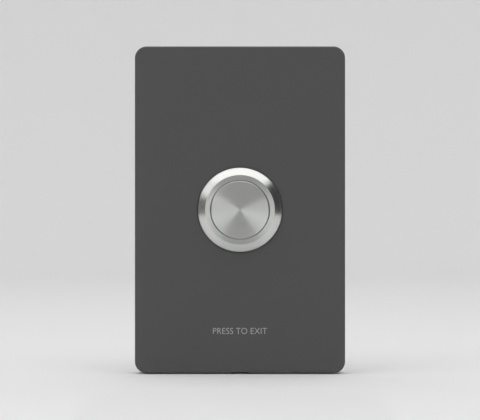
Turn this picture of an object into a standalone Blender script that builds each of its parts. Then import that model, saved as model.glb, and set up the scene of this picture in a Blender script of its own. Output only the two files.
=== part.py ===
"""Wall plate with a stainless steel push button that releases a door.

Everything is drawn as the plate is seen from the front: x to the right, y up and z
out of the wall, in metres. The wall is z = 0 and the button's axis is x = y = 0.
One empty stands that drawing up, so that the face looks along -Y and up is +Z.

A snap-on cover hides a mounting grid that two screws hold to the wall box. The
button's steel housing is clamped in the grid by a nut from behind, and its head
stands through the cover. The cap carries a plunger, and the plunger carries the
moving contact of a changeover switch inside the black switch body.
"""

import math
from typing import NamedTuple

import bmesh
import bpy

# Clearances
SEAT_GAP = 0.0003  # between two pieces that bear on each other
CAP_CLEARANCE = 0.0002  # around the cap, in the bore of the head
HEAD_CLEARANCE = 0.0002  # around the head, in the hole of the cover
COVER_MARGIN = 0.0005  # around the grid, inside the rim of the cover
COVER_FACE_GAP = 0.0004  # between the cover's face and the grid

# Snap-on cover
COVER_WIDTH = 0.0740
COVER_HEIGHT = 0.1150
COVER_DEPTH = 0.0090  # from the wall to the face
COVER_CORNER = 0.0041
COVER_FACE_WALL = 0.0022
COVER_RIM_WALL = 0.0018
COVER_EDGE_ROUND = 0.0007
COVER_HOLE_CHAMFER = 0.0002
NOTCH_WIDTH = 0.0056  # slot for a screwdriver, in the middle of the lower edge
NOTCH_FRONT_DEPTH = 0.00035  # at the face, where it shows as a thin line
NOTCH_REAR_WALL = 0.0022  # what stays of the rim behind it, at the wall
HOOK_ACROSS = 0.0460  # between the left hooks and the right ones
HOOK_UP = 0.0560  # between the lower hooks and the upper ones
HOOK_WIDTH = 0.0070
HOOK_THICKNESS = 0.0013
HOOK_TIP = 0.0008
HOOK_BARB = 0.0007
HOOK_BARB_RISE = 0.0005
HOOK_REACH = 0.0015  # of the barb, behind the grid

# Mounting grid
GRID_WEB = 0.0024
GRID_RIM_WALL = 0.0016
GRID_RIB = 0.0014
GRID_RIB_HEIGHT = 0.0026
GRID_RIBS_APART = 0.0380
FIXING_SPACING = 0.0840
FIXING_SLIDE = 0.0040  # how far a screw can move in its slot
FIXING_BOSS_WALL = 0.0014
FIXING_SEAT = 0.0034  # thickness of the boss under the head

# Fixing screws
FIXING_THREAD = 0.0035
FIXING_HEAD = 0.0068
FIXING_HEAD_HEIGHT = 0.0022
FIXING_LENGTH = 0.0250
FIXING_RECESS = 0.0038
FIXING_RECESS_WIDTH = 0.0010
PAN_ROUND = 0.45  # how much of a pan head is round, for all the screws
POINT_TAPER = 0.30  # how much of a thread's width its point loses on each side

# Steel housing of the button
HEAD_FLAT_WIDTH = 0.00175  # of the flat ring around the cap
HEAD_CONE_WIDTH = 0.00255
HEAD_PROUD = 0.0022  # in front of the cover
HEAD_CONE_HEIGHT = 0.0015
HEAD_LIP = 0.0024
HEAD_EDGE_BREAK = 0.0002
BARREL_WALL = 0.00155
BARREL_LENGTH = 0.0200
BARREL_CHAMFER = 0.0005
COLLAR_OVERLAP = 0.0003  # of the cap's collar behind the lip
BORE_STEP = 0.0003  # of the rear bore, which stops the switch body

# Cap
CAP_DIAMETER = 0.0205
CAP_TRAVEL = 0.0020
CAP_FACE_WALL = 0.0016
CAP_LAND = 0.00075  # of the collar, on each side of the seal
CAP_SKIRT_WALL = 0.0008
CAP_HUB_DIAMETER = 0.0070
CAP_HUB_LENGTH = 0.0032
CAP_SEAL_SECTION = 0.0012

# Seal, washer and nut
GASKET_THICKNESS = 0.0010
GASKET_MARGIN = 0.0005  # inside the edge of the head
WASHER_THICKNESS = 0.0008
WASHER_WIDTH = 0.0027
WASHER_TEETH = 16
WASHER_TOOTH = 0.0012
NUT_WALL = 0.0022  # at the flats
NUT_THICKNESS = 0.0040

# Plunger and spring
SPIGOT_DIAMETER = 0.0038
SPIGOT_LENGTH = 0.0022
SHOULDER_LENGTH = 0.0010
STEM_DIAMETER = 0.0048
STAKE_DIAMETER = 0.0022
STAKE_HEAD = 0.0034
STAKE_HEAD_LENGTH = 0.0006
SPRING_WIRE = 0.0007
SPRING_DIAMETER = 0.0122  # of the wire's centreline
SPRING_ACTIVE_TURNS = 3
SPRING_POCKET = 0.0015

# Switch body and its terminal base
GUIDE_LENGTH = 0.0055
SWITCH_FLANGE = 0.0020
CAVITY_ROOM = 0.0022  # above and below the contacts
BASE_THICKNESS = 0.0060
BASE_SPIGOT = 0.0015
BARRIER_HEIGHT = 0.0034
BARRIER_WALL = 0.0008
BASE_SCREWS_APART = 0.0156
BASE_SCREW_THREAD = 0.0018
BASE_SCREW_HEAD = 0.0036
BASE_SCREW_HEAD_HEIGHT = 0.0013
BASE_SCREW_LENGTH = 0.0095
BASE_RECESS = 0.0020
BASE_RECESS_WIDTH = 0.0006

# Contacts and terminals
STRIP_WIDTH = 0.0040
STRIP = 0.0006  # thickness of the fixed strips
BLADE = 0.0005  # thickness of the moving contact
LEG_INSET = 0.00285  # of the outer legs' inner faces, inside the switch body's edge
CONTACT_INSET = 0.0021  # of the contact points, inside the leg
CONTACT_DIAMETER = 0.0020
CONTACT_HEIGHT = 0.0005
TERMINAL_PITCH = 0.0064
TAB_LENGTH = 0.0048
TERMINAL_THREAD = 0.0030
TERMINAL_HEAD = 0.0050
TERMINAL_HEAD_HEIGHT = 0.0018
TERMINAL_LENGTH = 0.0048
SLOT_WIDTH = 0.0008

# Fineness of the round shapes
LARGE_ROUND = 64
MEDIUM_ROUND = 40
SMALL_ROUND = 24
CORNER_STEPS = 8
OVERCUT = 0.0010  # by which a cutter stands past what it cuts

# Layers of the plate, as heights in front of the wall
COVER_BACK_OF_FACE = COVER_DEPTH - COVER_FACE_WALL
GRID_FRONT = COVER_BACK_OF_FACE - COVER_FACE_GAP
GRID_BACK_OF_WEB = GRID_FRONT - GRID_WEB

# Layers of the button, from its head to its terminals
HEAD_FRONT = COVER_DEPTH + HEAD_PROUD
HEAD_EDGE = HEAD_FRONT - HEAD_CONE_HEIGHT
GASKET_BACK = GRID_FRONT + SEAT_GAP
FLANGE_BACK = GASKET_BACK + GASKET_THICKNESS + SEAT_GAP
BARREL_END = FLANGE_BACK - BARREL_LENGTH
LIP_BACK = HEAD_FRONT - HEAD_LIP
COLLAR_FRONT = LIP_BACK - SEAT_GAP
GROOVE_FRONT = COLLAR_FRONT - CAP_LAND
GROOVE_BACK = GROOVE_FRONT - CAP_SEAL_SECTION - 2 * SEAT_GAP
COLLAR_BACK = GROOVE_BACK - CAP_LAND
CUP_FLOOR = HEAD_FRONT - CAP_FACE_WALL
HUB_END = CUP_FLOOR - CAP_HUB_LENGTH
SWITCH_FRONT = COLLAR_BACK - CAP_TRAVEL - SEAT_GAP
CAVITY_FRONT = SWITCH_FRONT - GUIDE_LENGTH
SWITCH_FLANGE_FRONT = BARREL_END - SEAT_GAP
SWITCH_BACK = SWITCH_FLANGE_FRONT - SWITCH_FLANGE
BASE_FRONT = SWITCH_BACK - SEAT_GAP
BASE_BACK = BASE_FRONT - BASE_THICKNESS
TAB_FRONT = BASE_BACK - SEAT_GAP
TAB_BACK = TAB_FRONT - STRIP

# Radii of the button
CAP_RADIUS = CAP_DIAMETER / 2
LIP_BORE = CAP_RADIUS + CAP_CLEARANCE
HEAD_FLAT_RADIUS = LIP_BORE + HEAD_FLAT_WIDTH
HEAD_RADIUS = HEAD_FLAT_RADIUS + HEAD_CONE_WIDTH
COLLAR_RADIUS = LIP_BORE + COLLAR_OVERLAP
CHAMBER_BORE = COLLAR_RADIUS + CAP_CLEARANCE
REAR_BORE = CHAMBER_BORE + BORE_STEP
BARREL_RADIUS = CHAMBER_BORE + BARREL_WALL
BARREL_HOLE = BARREL_RADIUS + SEAT_GAP
SWITCH_RADIUS = REAR_BORE - SEAT_GAP
SWITCH_FLANGE_RADIUS = BARREL_RADIUS - BARREL_CHAMFER / 2

# Places of the contacts, from the axis
LEG_OFFSET = SWITCH_RADIUS - LEG_INSET
CONTACT_AT = LEG_OFFSET - CONTACT_INSET
CAVITY_ACROSS = LEG_OFFSET + STRIP + SEAT_GAP
CAVITY_UP = STRIP_WIDTH / 2 + CAVITY_ROOM

# Layers of the contacts, with the button at rest
CLOSED_FOOT_FRONT = CAVITY_FRONT - SEAT_GAP
CLOSED_TIP = CLOSED_FOOT_FRONT - STRIP - CONTACT_HEIGHT
BLADE_FRONT = CLOSED_TIP - SEAT_GAP
BLADE_BACK = BLADE_FRONT - BLADE
STAKE_HEAD_FRONT = BLADE_BACK - SEAT_GAP
STAKE_END = STAKE_HEAD_FRONT - STAKE_HEAD_LENGTH
OPEN_TIP = BLADE_BACK - CAP_TRAVEL - SEAT_GAP
OPEN_FOOT_FRONT = STAKE_END - CAP_TRAVEL - SEAT_GAP

MATERIALS = {
    "charcoal_plastic": ((0.080, 0.080, 0.080), 0.0, 0.55),
    "grid_plastic": ((0.62, 0.62, 0.60), 0.0, 0.50),
    "stainless_steel": ((0.58, 0.57, 0.54), 1.0, 0.28),
    "black_plastic": ((0.020, 0.020, 0.022), 0.0, 0.45),
    "white_plastic": ((0.78, 0.78, 0.75), 0.0, 0.40),
    "rubber": ((0.015, 0.015, 0.015), 0.0, 0.80),
    "zinc_steel": ((0.55, 0.56, 0.57), 1.0, 0.35),
    "spring_steel": ((0.42, 0.41, 0.40), 1.0, 0.30),
    "brass": ((0.72, 0.52, 0.22), 1.0, 0.30),
}


def clear_scene():
    """Removes what the file opened with."""
    for obj in list(bpy.data.objects):
        bpy.data.objects.remove(obj)


def material(name):
    """One of the part's materials, made when it is first asked for."""
    found = bpy.data.materials.get(name)
    if found:
        return found
    colour, metallic, roughness = MATERIALS[name]
    made = bpy.data.materials.new(name)
    made.use_nodes = True
    shader = made.node_tree.nodes["Principled BSDF"]
    shader.inputs["Base Color"].default_value = (*colour, 1.0)
    shader.inputs["Metallic"].default_value = metallic
    shader.inputs["Roughness"].default_value = roughness
    made.diffuse_color = (*colour, 1.0)
    return made


def empty(name, parent=None, location=(0, 0, 0), rotation=(0, 0, 0)):
    """A frame that other pieces hang on."""
    made = bpy.data.objects.new(name, None)
    made.parent = parent
    made.location = location
    made.rotation_euler = rotation
    bpy.context.scene.collection.objects.link(made)
    return made


def piece(name, shape, parent, finish, location=(0, 0, 0)):
    """An object made from a bmesh, with smooth sides and sharp edges."""
    bmesh.ops.recalc_face_normals(shape, faces=shape.faces)
    mesh = bpy.data.meshes.new(name)
    shape.to_mesh(mesh)
    shape.free()
    mesh.shade_smooth()
    mesh.set_sharp_from_angle(angle=math.radians(30))
    mesh.materials.append(material(finish))
    made = bpy.data.objects.new(name, mesh)
    made.parent = parent
    made.location = location
    bpy.context.scene.collection.objects.link(made)
    return made


def helper(shape, parent, location=(0, 0, 0)):
    """A cutter or a lump that a Boolean uses and no render shows."""
    made = piece("tool", shape, parent, "rubber", location)
    made.hide_render = True
    made.display_type = "WIRE"
    return made


def boolean(target, tool, operation):
    """Adds one Boolean to a piece."""
    modifier = target.modifiers.new(operation.lower(), "BOOLEAN")
    modifier.operation = operation
    modifier.object = tool
    modifier.solver = "EXACT"


def cut(target, shape, location=(0, 0, 0)):
    """Takes a shape away from a piece."""
    boolean(target, helper(shape, target.parent, location), "DIFFERENCE")


def add(target, shape, location=(0, 0, 0)):
    """Makes a shape part of a piece."""
    boolean(target, helper(shape, target.parent, location), "UNION")


def turned(profile, rounds):
    """A shape turned about z from (radius, height) points that run round its section."""
    shape = bmesh.new()
    corners = [shape.verts.new((radius, 0, height)) for radius, height in profile]
    edges = [shape.edges.new((a, b)) for a, b in zip(corners, corners[1:] + corners[:1])]
    bmesh.ops.spin(
        shape,
        geom=corners + edges,
        cent=(0, 0, 0),
        axis=(0, 0, 1),
        angle=math.tau,
        steps=rounds,
        use_merge=True,
    )
    bmesh.ops.remove_doubles(shape, verts=shape.verts, dist=1e-6)
    on_axis = [e for e in shape.edges if all(v.co.xy.length < 1e-6 for v in e.verts)]
    bmesh.ops.delete(shape, geom=on_axis, context="EDGES_FACES")
    return shape


def disc(radius, back, front, rounds=SMALL_ROUND):
    """A plain round bar from one height to another."""
    return turned([(0, back), (radius, back), (radius, front), (0, front)], rounds)


def ring(inner, outer, back, front, rounds=LARGE_ROUND):
    """A plain round tube from one height to another."""
    return turned([(inner, back), (outer, back), (outer, front), (inner, front)], rounds)


def prism(outline, back, front):
    """An outline in x and y, raised from one height to another."""
    shape = bmesh.new()
    face = shape.faces.new([shape.verts.new((x, y, back)) for x, y in outline])
    raised = bmesh.ops.extrude_face_region(shape, geom=[face])["geom"]
    bmesh.ops.translate(
        shape,
        verts=[v for v in raised if isinstance(v, bmesh.types.BMVert)],
        vec=(0, 0, front - back),
    )
    return shape


def box(left, right, lower, upper, back, front):
    """A block between two corners."""
    return prism([(left, lower), (right, lower), (right, upper), (left, upper)], back, front)


def side_profile(points, width):
    """A profile in y and z, made as wide as given along x, about x = 0."""
    shape = bmesh.new()
    face = shape.faces.new([shape.verts.new((-width / 2, y, z)) for y, z in points])
    raised = bmesh.ops.extrude_face_region(shape, geom=[face])["geom"]
    bmesh.ops.translate(
        shape, verts=[v for v in raised if isinstance(v, bmesh.types.BMVert)], vec=(width, 0, 0)
    )
    return shape


def top_profile(points, width):
    """A profile in x and z, made as wide as given along y, about y = 0."""
    shape = bmesh.new()
    face = shape.faces.new([shape.verts.new((x, -width / 2, z)) for x, z in points])
    raised = bmesh.ops.extrude_face_region(shape, geom=[face])["geom"]
    bmesh.ops.translate(
        shape, verts=[v for v in raised if isinstance(v, bmesh.types.BMVert)], vec=(0, width, 0)
    )
    return shape


def arc(centre, radius, start, end, steps):
    """Points along an arc, in degrees, both ends included."""
    turns = [math.radians(start + (end - start) * i / steps) for i in range(steps + 1)]
    return [(centre[0] + radius * math.cos(a), centre[1] + radius * math.sin(a)) for a in turns]


def rounded_rectangle(width, height, radius, steps=CORNER_STEPS):
    """The outline of a rectangle with round corners, about the axis."""
    across, up = width / 2 - radius, height / 2 - radius
    corners = [(across, -up, -90), (across, up, 0), (-across, up, 90), (-across, -up, 180)]
    return [p for x, y, start in corners for p in arc((x, y), radius, start, start + 90, steps)]


def stadium(length, radius, steps=SMALL_ROUND // 2):
    """The outline of a slot along x: two half rounds whose centres are length apart."""
    right = arc((length / 2, 0), radius, -90, 90, steps)
    return right + arc((-length / 2, 0), radius, 90, 270, steps)


def cross_outline(length, width):
    """The outline of an upright cross."""
    far, near = length / 2, width / 2
    arm = [(far, -near), (far, near), (near, near)]
    turns = [(1, 0, 0, 1), (0, -1, 1, 0), (-1, 0, 0, -1), (0, 1, -1, 0)]
    return [(a * x + b * y, c * x + d * y) for a, b, c, d in turns for x, y in arm]


def bevel_edges(shape, chosen, width, segments):
    """Rounds or chamfers the edges that a test picks."""
    bmesh.ops.bevel(
        shape,
        geom=[e for e in shape.edges if chosen(e)],
        offset=width,
        segments=segments,
        profile=0.5,
        affect="EDGES",
        material=-1,
    )


def at_height(height):
    """A test for edges that lie at one height."""
    return lambda edge: all(abs(v.co.z - height) < 1e-6 for v in edge.verts)


def make_cover(parent):
    """The moulded front cover: a shallow shell with four hooks and a slot to prise it off."""
    outline = rounded_rectangle(COVER_WIDTH, COVER_HEIGHT, COVER_CORNER)
    body = prism(outline, 0, COVER_DEPTH)
    bevel_edges(body, at_height(COVER_DEPTH), COVER_EDGE_ROUND, 3)
    cover = piece("cover_plate", body, parent, "charcoal_plastic")

    inner_width = COVER_WIDTH - 2 * COVER_RIM_WALL
    inner_height = COVER_HEIGHT - 2 * COVER_RIM_WALL
    inner = rounded_rectangle(inner_width, inner_height, COVER_CORNER - COVER_RIM_WALL)
    cut(cover, prism(inner, -OVERCUT, COVER_BACK_OF_FACE))

    hole = HEAD_RADIUS + HEAD_CLEARANCE
    hole_profile = [
        (0, COVER_BACK_OF_FACE - OVERCUT),
        (hole, COVER_BACK_OF_FACE - OVERCUT),
        (hole, COVER_DEPTH - COVER_HOLE_CHAMFER),
        (hole + COVER_HOLE_CHAMFER + OVERCUT, COVER_DEPTH + OVERCUT),
        (0, COVER_DEPTH + OVERCUT),
    ]
    cut(cover, turned(hole_profile, LARGE_ROUND))

    lower_edge = -COVER_HEIGHT / 2
    through = lower_edge + COVER_RIM_WALL + COVER_MARGIN / 2
    ramp_end = COVER_BACK_OF_FACE - COVER_FACE_WALL / 4
    notch = [
        (lower_edge - OVERCUT, NOTCH_REAR_WALL),
        (through, NOTCH_REAR_WALL),
        (through, ramp_end),
        (lower_edge + NOTCH_FRONT_DEPTH, COVER_DEPTH),
        (lower_edge + NOTCH_FRONT_DEPTH, COVER_DEPTH + OVERCUT),
        (lower_edge - OVERCUT, COVER_DEPTH + OVERCUT),
    ]
    cut(cover, side_profile(notch, NOTCH_WIDTH))

    for side in (-1, 1):
        for level in (-1, 1):
            add(cover, hook(side), (side * HOOK_ACROSS / 2, level * HOOK_UP / 2, 0))
    return cover


def hook(side):
    """One snap hook of the cover, whose barb points to the given side."""
    root = COVER_BACK_OF_FACE + COVER_FACE_WALL / 2
    catch = GRID_BACK_OF_WEB - SEAT_GAP
    tip = catch - HOOK_REACH
    points = [
        (0, root),
        (0, tip),
        (HOOK_TIP, tip),
        (HOOK_THICKNESS + HOOK_BARB, catch - HOOK_BARB_RISE),
        (HOOK_THICKNESS + HOOK_BARB, catch),
        (HOOK_THICKNESS, catch),
        (HOOK_THICKNESS, root),
    ]
    return top_profile([(side * x, z) for x, z in points], HOOK_WIDTH)


def make_grid(parent):
    """The moulded grid behind the cover, which takes the screws, the hooks and the button."""
    width = COVER_WIDTH - 2 * (COVER_RIM_WALL + COVER_MARGIN)
    height = COVER_HEIGHT - 2 * (COVER_RIM_WALL + COVER_MARGIN)
    corner = COVER_CORNER - COVER_RIM_WALL - COVER_MARGIN
    outline = rounded_rectangle(width, height, corner, CORNER_STEPS // 2)
    grid = piece("mounting_grid", prism(outline, 0, GRID_FRONT), parent, "grid_plastic")

    tray_width = width - 2 * GRID_RIM_WALL
    tray_height = height - 2 * GRID_RIM_WALL
    tray_corner = max(corner - GRID_RIM_WALL, corner / 4)
    tray = rounded_rectangle(tray_width, tray_height, tray_corner, CORNER_STEPS // 2)
    cut(grid, prism(tray, -OVERCUT, GRID_BACK_OF_WEB))

    rib_root = GRID_BACK_OF_WEB + GRID_WEB / 2
    rib_back = GRID_BACK_OF_WEB - GRID_RIB_HEIGHT
    rib_reach = tray_height / 2 + GRID_RIM_WALL / 2
    for side in (-1, 1):
        middle = side * GRID_RIBS_APART / 2
        left, right = middle - GRID_RIB / 2, middle + GRID_RIB / 2
        add(grid, box(left, right, -rib_reach, rib_reach, rib_back, rib_root))

    boss = FIXING_HEAD / 2 + SEAT_GAP + FIXING_BOSS_WALL
    for level in (-1, 1):
        place = (0, level * FIXING_SPACING / 2, 0)
        add(grid, prism(stadium(FIXING_SLIDE, boss), 0, rib_root), place)
        seat = stadium(FIXING_SLIDE, FIXING_HEAD / 2 + SEAT_GAP)
        cut(grid, prism(seat, FIXING_SEAT, GRID_FRONT + OVERCUT), place)
        slot = stadium(FIXING_SLIDE, FIXING_THREAD / 2 + SEAT_GAP)
        cut(grid, prism(slot, -OVERCUT, FIXING_SEAT + OVERCUT), place)

    cut(grid, disc(BARREL_HOLE, -OVERCUT, GRID_FRONT + OVERCUT, LARGE_ROUND))

    slot_out = HOOK_THICKNESS + HOOK_BARB + SEAT_GAP
    slot_half = HOOK_WIDTH / 2 + SEAT_GAP
    for side in (-1, 1):
        for level in (-1, 1):
            inner, outer = sorted((-side * HOOK_BARB, side * (slot_out - HOOK_BARB)))
            window = box(inner, outer, -slot_half, slot_half, -OVERCUT, GRID_FRONT + OVERCUT)
            cut(grid, window, (side * HOOK_ACROSS / 2, level * HOOK_UP / 2, 0))
    return grid


class Screw(NamedTuple):
    """The sizes of one pan head screw."""

    head: float
    head_height: float
    thread: float
    length: float


def make_screw(name, parent, place, sizes, recess):
    """A pan head screw that stands along z with its head in front, seated at its place."""
    head, height, thread, length = sizes
    point = thread * POINT_TAPER
    round_off = height * PAN_ROUND
    shank = [(0, -length), (thread / 2 - point, -length), (thread / 2, -length + point), (thread / 2, 0)]
    crown = arc((head / 2 - round_off, height - round_off), round_off, 0, 90, 3)
    profile = shank + [(head / 2, 0)] + crown + [(0, height)]
    screw = piece(name, turned(profile, SMALL_ROUND), parent, "zinc_steel", place)
    cut(screw, prism(recess, height / 2, height + OVERCUT), place)
    return screw


def make_fixing_screws(parent):
    """The two screws that hold the grid to the wall box."""
    sizes = Screw(FIXING_HEAD, FIXING_HEAD_HEIGHT, FIXING_THREAD, FIXING_LENGTH)
    recess = cross_outline(FIXING_RECESS, FIXING_RECESS_WIDTH)
    seat = FIXING_SEAT + SEAT_GAP
    half = FIXING_SPACING / 2
    make_screw("fixing_screw_upper", parent, (0, half, seat), sizes, recess)
    make_screw("fixing_screw_lower", parent, (0, -half, seat), sizes, recess)


def make_housing(parent):
    """The turned steel housing: a coned head, a lip that keeps the cap in, and a barrel."""
    profile = [
        (LIP_BORE, LIP_BACK),
        (LIP_BORE, HEAD_FRONT - HEAD_EDGE_BREAK),
        (LIP_BORE + HEAD_EDGE_BREAK, HEAD_FRONT),
        (HEAD_FLAT_RADIUS, HEAD_FRONT),
        (HEAD_RADIUS, HEAD_EDGE),
        (HEAD_RADIUS, FLANGE_BACK),
        (BARREL_RADIUS, FLANGE_BACK),
        (BARREL_RADIUS, BARREL_END + BARREL_CHAMFER),
        (BARREL_RADIUS - BARREL_CHAMFER, BARREL_END),
        (REAR_BORE, BARREL_END),
        (REAR_BORE, SWITCH_FRONT + SEAT_GAP),
        (CHAMBER_BORE, SWITCH_FRONT + SEAT_GAP),
        (CHAMBER_BORE, LIP_BACK),
    ]
    return piece("button_housing", turned(profile, LARGE_ROUND), parent, "stainless_steel")


def make_gasket(parent):
    """The flat rubber seal between the head and the grid."""
    outer = HEAD_RADIUS - GASKET_MARGIN
    seal = ring(BARREL_HOLE, outer, GASKET_BACK, GASKET_BACK + GASKET_THICKNESS, MEDIUM_ROUND)
    return piece("flange_gasket", seal, parent, "rubber")


def make_lock_washer(parent):
    """The toothed washer under the nut."""
    front = GRID_BACK_OF_WEB - SEAT_GAP
    back = front - WASHER_THICKNESS
    tip = BARREL_HOLE + WASHER_WIDTH
    root = tip - WASHER_TOOTH
    outline = []
    half = 180 / WASHER_TEETH
    for tooth in range(WASHER_TEETH):
        start = 2 * half * tooth
        outline += arc((0, 0), tip, start, start + half, 1)
        outline += arc((0, 0), root, start + half, start + 2 * half, 1)
    washer = piece("lock_washer", prism(outline, back, front), parent, "zinc_steel")
    cut(washer, disc(BARREL_HOLE, back - OVERCUT, front + OVERCUT, MEDIUM_ROUND))
    return washer


def make_lock_nut(parent):
    """The thin hexagon nut that clamps the housing in the grid."""
    front = GRID_BACK_OF_WEB - WASHER_THICKNESS - 2 * SEAT_GAP
    back = front - NUT_THICKNESS
    flat = BARREL_HOLE + NUT_WALL
    corner = flat / math.cos(math.radians(30))
    nut = piece("lock_nut", prism(arc((0, 0), corner, 0, 300, 5), back, front), parent, "zinc_steel")

    far = corner + OVERCUT
    slope = (far - flat) * math.tan(math.radians(30))
    coned = [
        (0, back),
        (flat, back),
        (far, back + slope),
        (far, front - slope),
        (flat, front),
        (0, front),
    ]
    boolean(nut, helper(turned(coned, MEDIUM_ROUND), parent), "INTERSECT")
    cut(nut, disc(BARREL_HOLE, back - OVERCUT, front + OVERCUT, MEDIUM_ROUND))
    return nut


def make_cap(parent):
    """The turned steel cap: a flat face, a collar with a seal groove and a hub behind."""
    groove = COLLAR_RADIUS - CAP_SEAL_SECTION - SEAT_GAP
    cup = groove - CAP_SKIRT_WALL
    hub = CAP_HUB_DIAMETER / 2
    socket = SPIGOT_DIAMETER / 2 + SEAT_GAP
    profile = [
        (0, HEAD_FRONT),
        (CAP_RADIUS - HEAD_EDGE_BREAK, HEAD_FRONT),
        (CAP_RADIUS, HEAD_FRONT - HEAD_EDGE_BREAK),
        (CAP_RADIUS, COLLAR_FRONT),
        (COLLAR_RADIUS, COLLAR_FRONT),
        (COLLAR_RADIUS, GROOVE_FRONT),
        (groove, GROOVE_FRONT),
        (groove, GROOVE_BACK),
        (COLLAR_RADIUS, GROOVE_BACK),
        (COLLAR_RADIUS, COLLAR_BACK),
        (cup, COLLAR_BACK),
        (cup, CUP_FLOOR),
        (hub, CUP_FLOOR),
        (hub, HUB_END),
        (socket, HUB_END),
        (socket, HUB_END + SPIGOT_LENGTH),
        (0, HUB_END + SPIGOT_LENGTH),
    ]
    return piece("push_cap", turned(profile, LARGE_ROUND), parent, "stainless_steel")


def make_cap_seal(parent):
    """The round rubber ring in the groove of the cap."""
    section = CAP_SEAL_SECTION / 2
    middle = (COLLAR_RADIUS - section, (GROOVE_FRONT + GROOVE_BACK) / 2)
    seal = turned(arc(middle, section, 0, 315, 7), MEDIUM_ROUND)
    return piece("cap_seal", seal, parent, "rubber")


def make_plunger(parent):
    """The moulded plunger, pressed into the cap's hub and staked over the moving contact."""
    shoulder_front = HUB_END - SEAT_GAP
    profile = [
        (0, HUB_END + SPIGOT_LENGTH - SEAT_GAP),
        (SPIGOT_DIAMETER / 2, HUB_END + SPIGOT_LENGTH - SEAT_GAP),
        (SPIGOT_DIAMETER / 2, shoulder_front),
        (CAP_HUB_DIAMETER / 2, shoulder_front),
        (CAP_HUB_DIAMETER / 2, shoulder_front - SHOULDER_LENGTH),
        (STEM_DIAMETER / 2, shoulder_front - SHOULDER_LENGTH),
        (STEM_DIAMETER / 2, BLADE_FRONT + SEAT_GAP),
        (STAKE_DIAMETER / 2, BLADE_FRONT + SEAT_GAP),
        (STAKE_DIAMETER / 2, STAKE_HEAD_FRONT),
        (STAKE_HEAD / 2, STAKE_HEAD_FRONT),
        (STAKE_HEAD / 2, STAKE_END),
        (0, STAKE_END),
    ]
    return piece("plunger", turned(profile, SMALL_ROUND), parent, "white_plastic")


def make_moving_contact(parent):
    """The bronze blade on the plunger: it slides on the common leg and meets either contact."""
    left = -(LEG_OFFSET - SEAT_GAP)
    right = CONTACT_AT + CONTACT_DIAMETER / 2
    half = STRIP_WIDTH / 2
    blade = piece(
        "moving_contact",
        box(left, right, -half, half, BLADE_BACK, BLADE_FRONT),
        parent,
        "brass",
    )
    lip = box(left, left + BLADE, -half, half, BLADE_BACK - 3 * BLADE, BLADE_FRONT - BLADE / 2)
    add(blade, lip)
    cut(blade, disc(STAKE_DIAMETER / 2 + SEAT_GAP, BLADE_BACK - OVERCUT, BLADE_FRONT + OVERCUT))
    return blade


def spring_height(turn, turns, length):
    """How high the wire is after some turns: nearly flat in the end coils, even between."""
    closed = SPRING_WIRE + SEAT_GAP / 2
    pitch = (length - 2 * closed) / SPRING_ACTIVE_TURNS
    if turn < 1:
        return closed * turn
    if turn > turns - 1:
        return length - closed * (turns - turn)
    return closed + pitch * (turn - 1)


def make_return_spring(parent):
    """The coil spring between the switch body and the cup of the cap."""
    lower = SWITCH_FRONT - SPRING_POCKET + SEAT_GAP + SPRING_WIRE / 2
    upper = CUP_FLOOR - SEAT_GAP - SPRING_WIRE / 2
    turns = SPRING_ACTIVE_TURNS + 2
    steps = 20 * turns
    curve = bpy.data.curves.new("return_spring", "CURVE")
    curve.dimensions = "3D"
    curve.bevel_depth = SPRING_WIRE / 2
    curve.bevel_resolution = 1
    curve.use_fill_caps = True
    curve.materials.append(material("spring_steel"))
    wire = curve.splines.new("POLY")
    wire.points.add(steps)
    for i, point in enumerate(wire.points):
        turn = turns * i / steps
        angle = math.tau * turn
        x, y = SPRING_DIAMETER / 2 * math.cos(angle), SPRING_DIAMETER / 2 * math.sin(angle)
        point.co = (x, y, lower + spring_height(turn, turns, upper - lower), 1)
    made = bpy.data.objects.new("return_spring", curve)
    made.parent = parent
    bpy.context.scene.collection.objects.link(made)
    return made


def make_switch_body(parent):
    """The black body in the barrel: plunger guide, spring pocket and the contacts' cavity."""
    profile = [
        (0, SWITCH_FRONT),
        (SWITCH_RADIUS, SWITCH_FRONT),
        (SWITCH_RADIUS, SWITCH_FLANGE_FRONT),
        (SWITCH_FLANGE_RADIUS, SWITCH_FLANGE_FRONT),
        (SWITCH_FLANGE_RADIUS, SWITCH_BACK),
        (0, SWITCH_BACK),
    ]
    body = piece("switch_body", turned(profile, MEDIUM_ROUND), parent, "black_plastic")
    inner = (SPRING_DIAMETER - SPRING_WIRE) / 2 - SEAT_GAP
    outer = (SPRING_DIAMETER + SPRING_WIRE) / 2 + SEAT_GAP
    floor = SWITCH_FRONT - SPRING_POCKET
    cut(body, ring(inner, outer, floor, SWITCH_FRONT + OVERCUT, MEDIUM_ROUND))
    cut(body, disc(STEM_DIAMETER / 2 + SEAT_GAP, CAVITY_FRONT - OVERCUT, SWITCH_FRONT + OVERCUT))
    cavity = box(
        -CAVITY_ACROSS, CAVITY_ACROSS, -CAVITY_UP, CAVITY_UP, SWITCH_BACK - OVERCUT, CAVITY_FRONT
    )
    cut(body, cavity)
    screw_bore = BASE_SCREW_THREAD / 2 + SEAT_GAP
    screw_end = BASE_BACK - SEAT_GAP + BASE_SCREW_LENGTH
    for level in (-1, 1):
        place = (0, level * BASE_SCREWS_APART / 2, 0)
        cut(body, disc(screw_bore, SWITCH_BACK - OVERCUT, screw_end + SEAT_GAP), place)
    return body


def leg_positions():
    """The left and right face of each terminal's leg, from the common one to the closed one."""
    middle = -TERMINAL_THREAD / 2 - SEAT_GAP
    return {
        "common": (-LEG_OFFSET - STRIP, -LEG_OFFSET),
        "open": (middle - STRIP, middle),
        "closed": (LEG_OFFSET, LEG_OFFSET + STRIP),
    }


def terminal_middle(name):
    """Where a terminal's screw stands along x."""
    return {"common": -TERMINAL_PITCH, "open": 0, "closed": TERMINAL_PITCH}[name]


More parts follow.
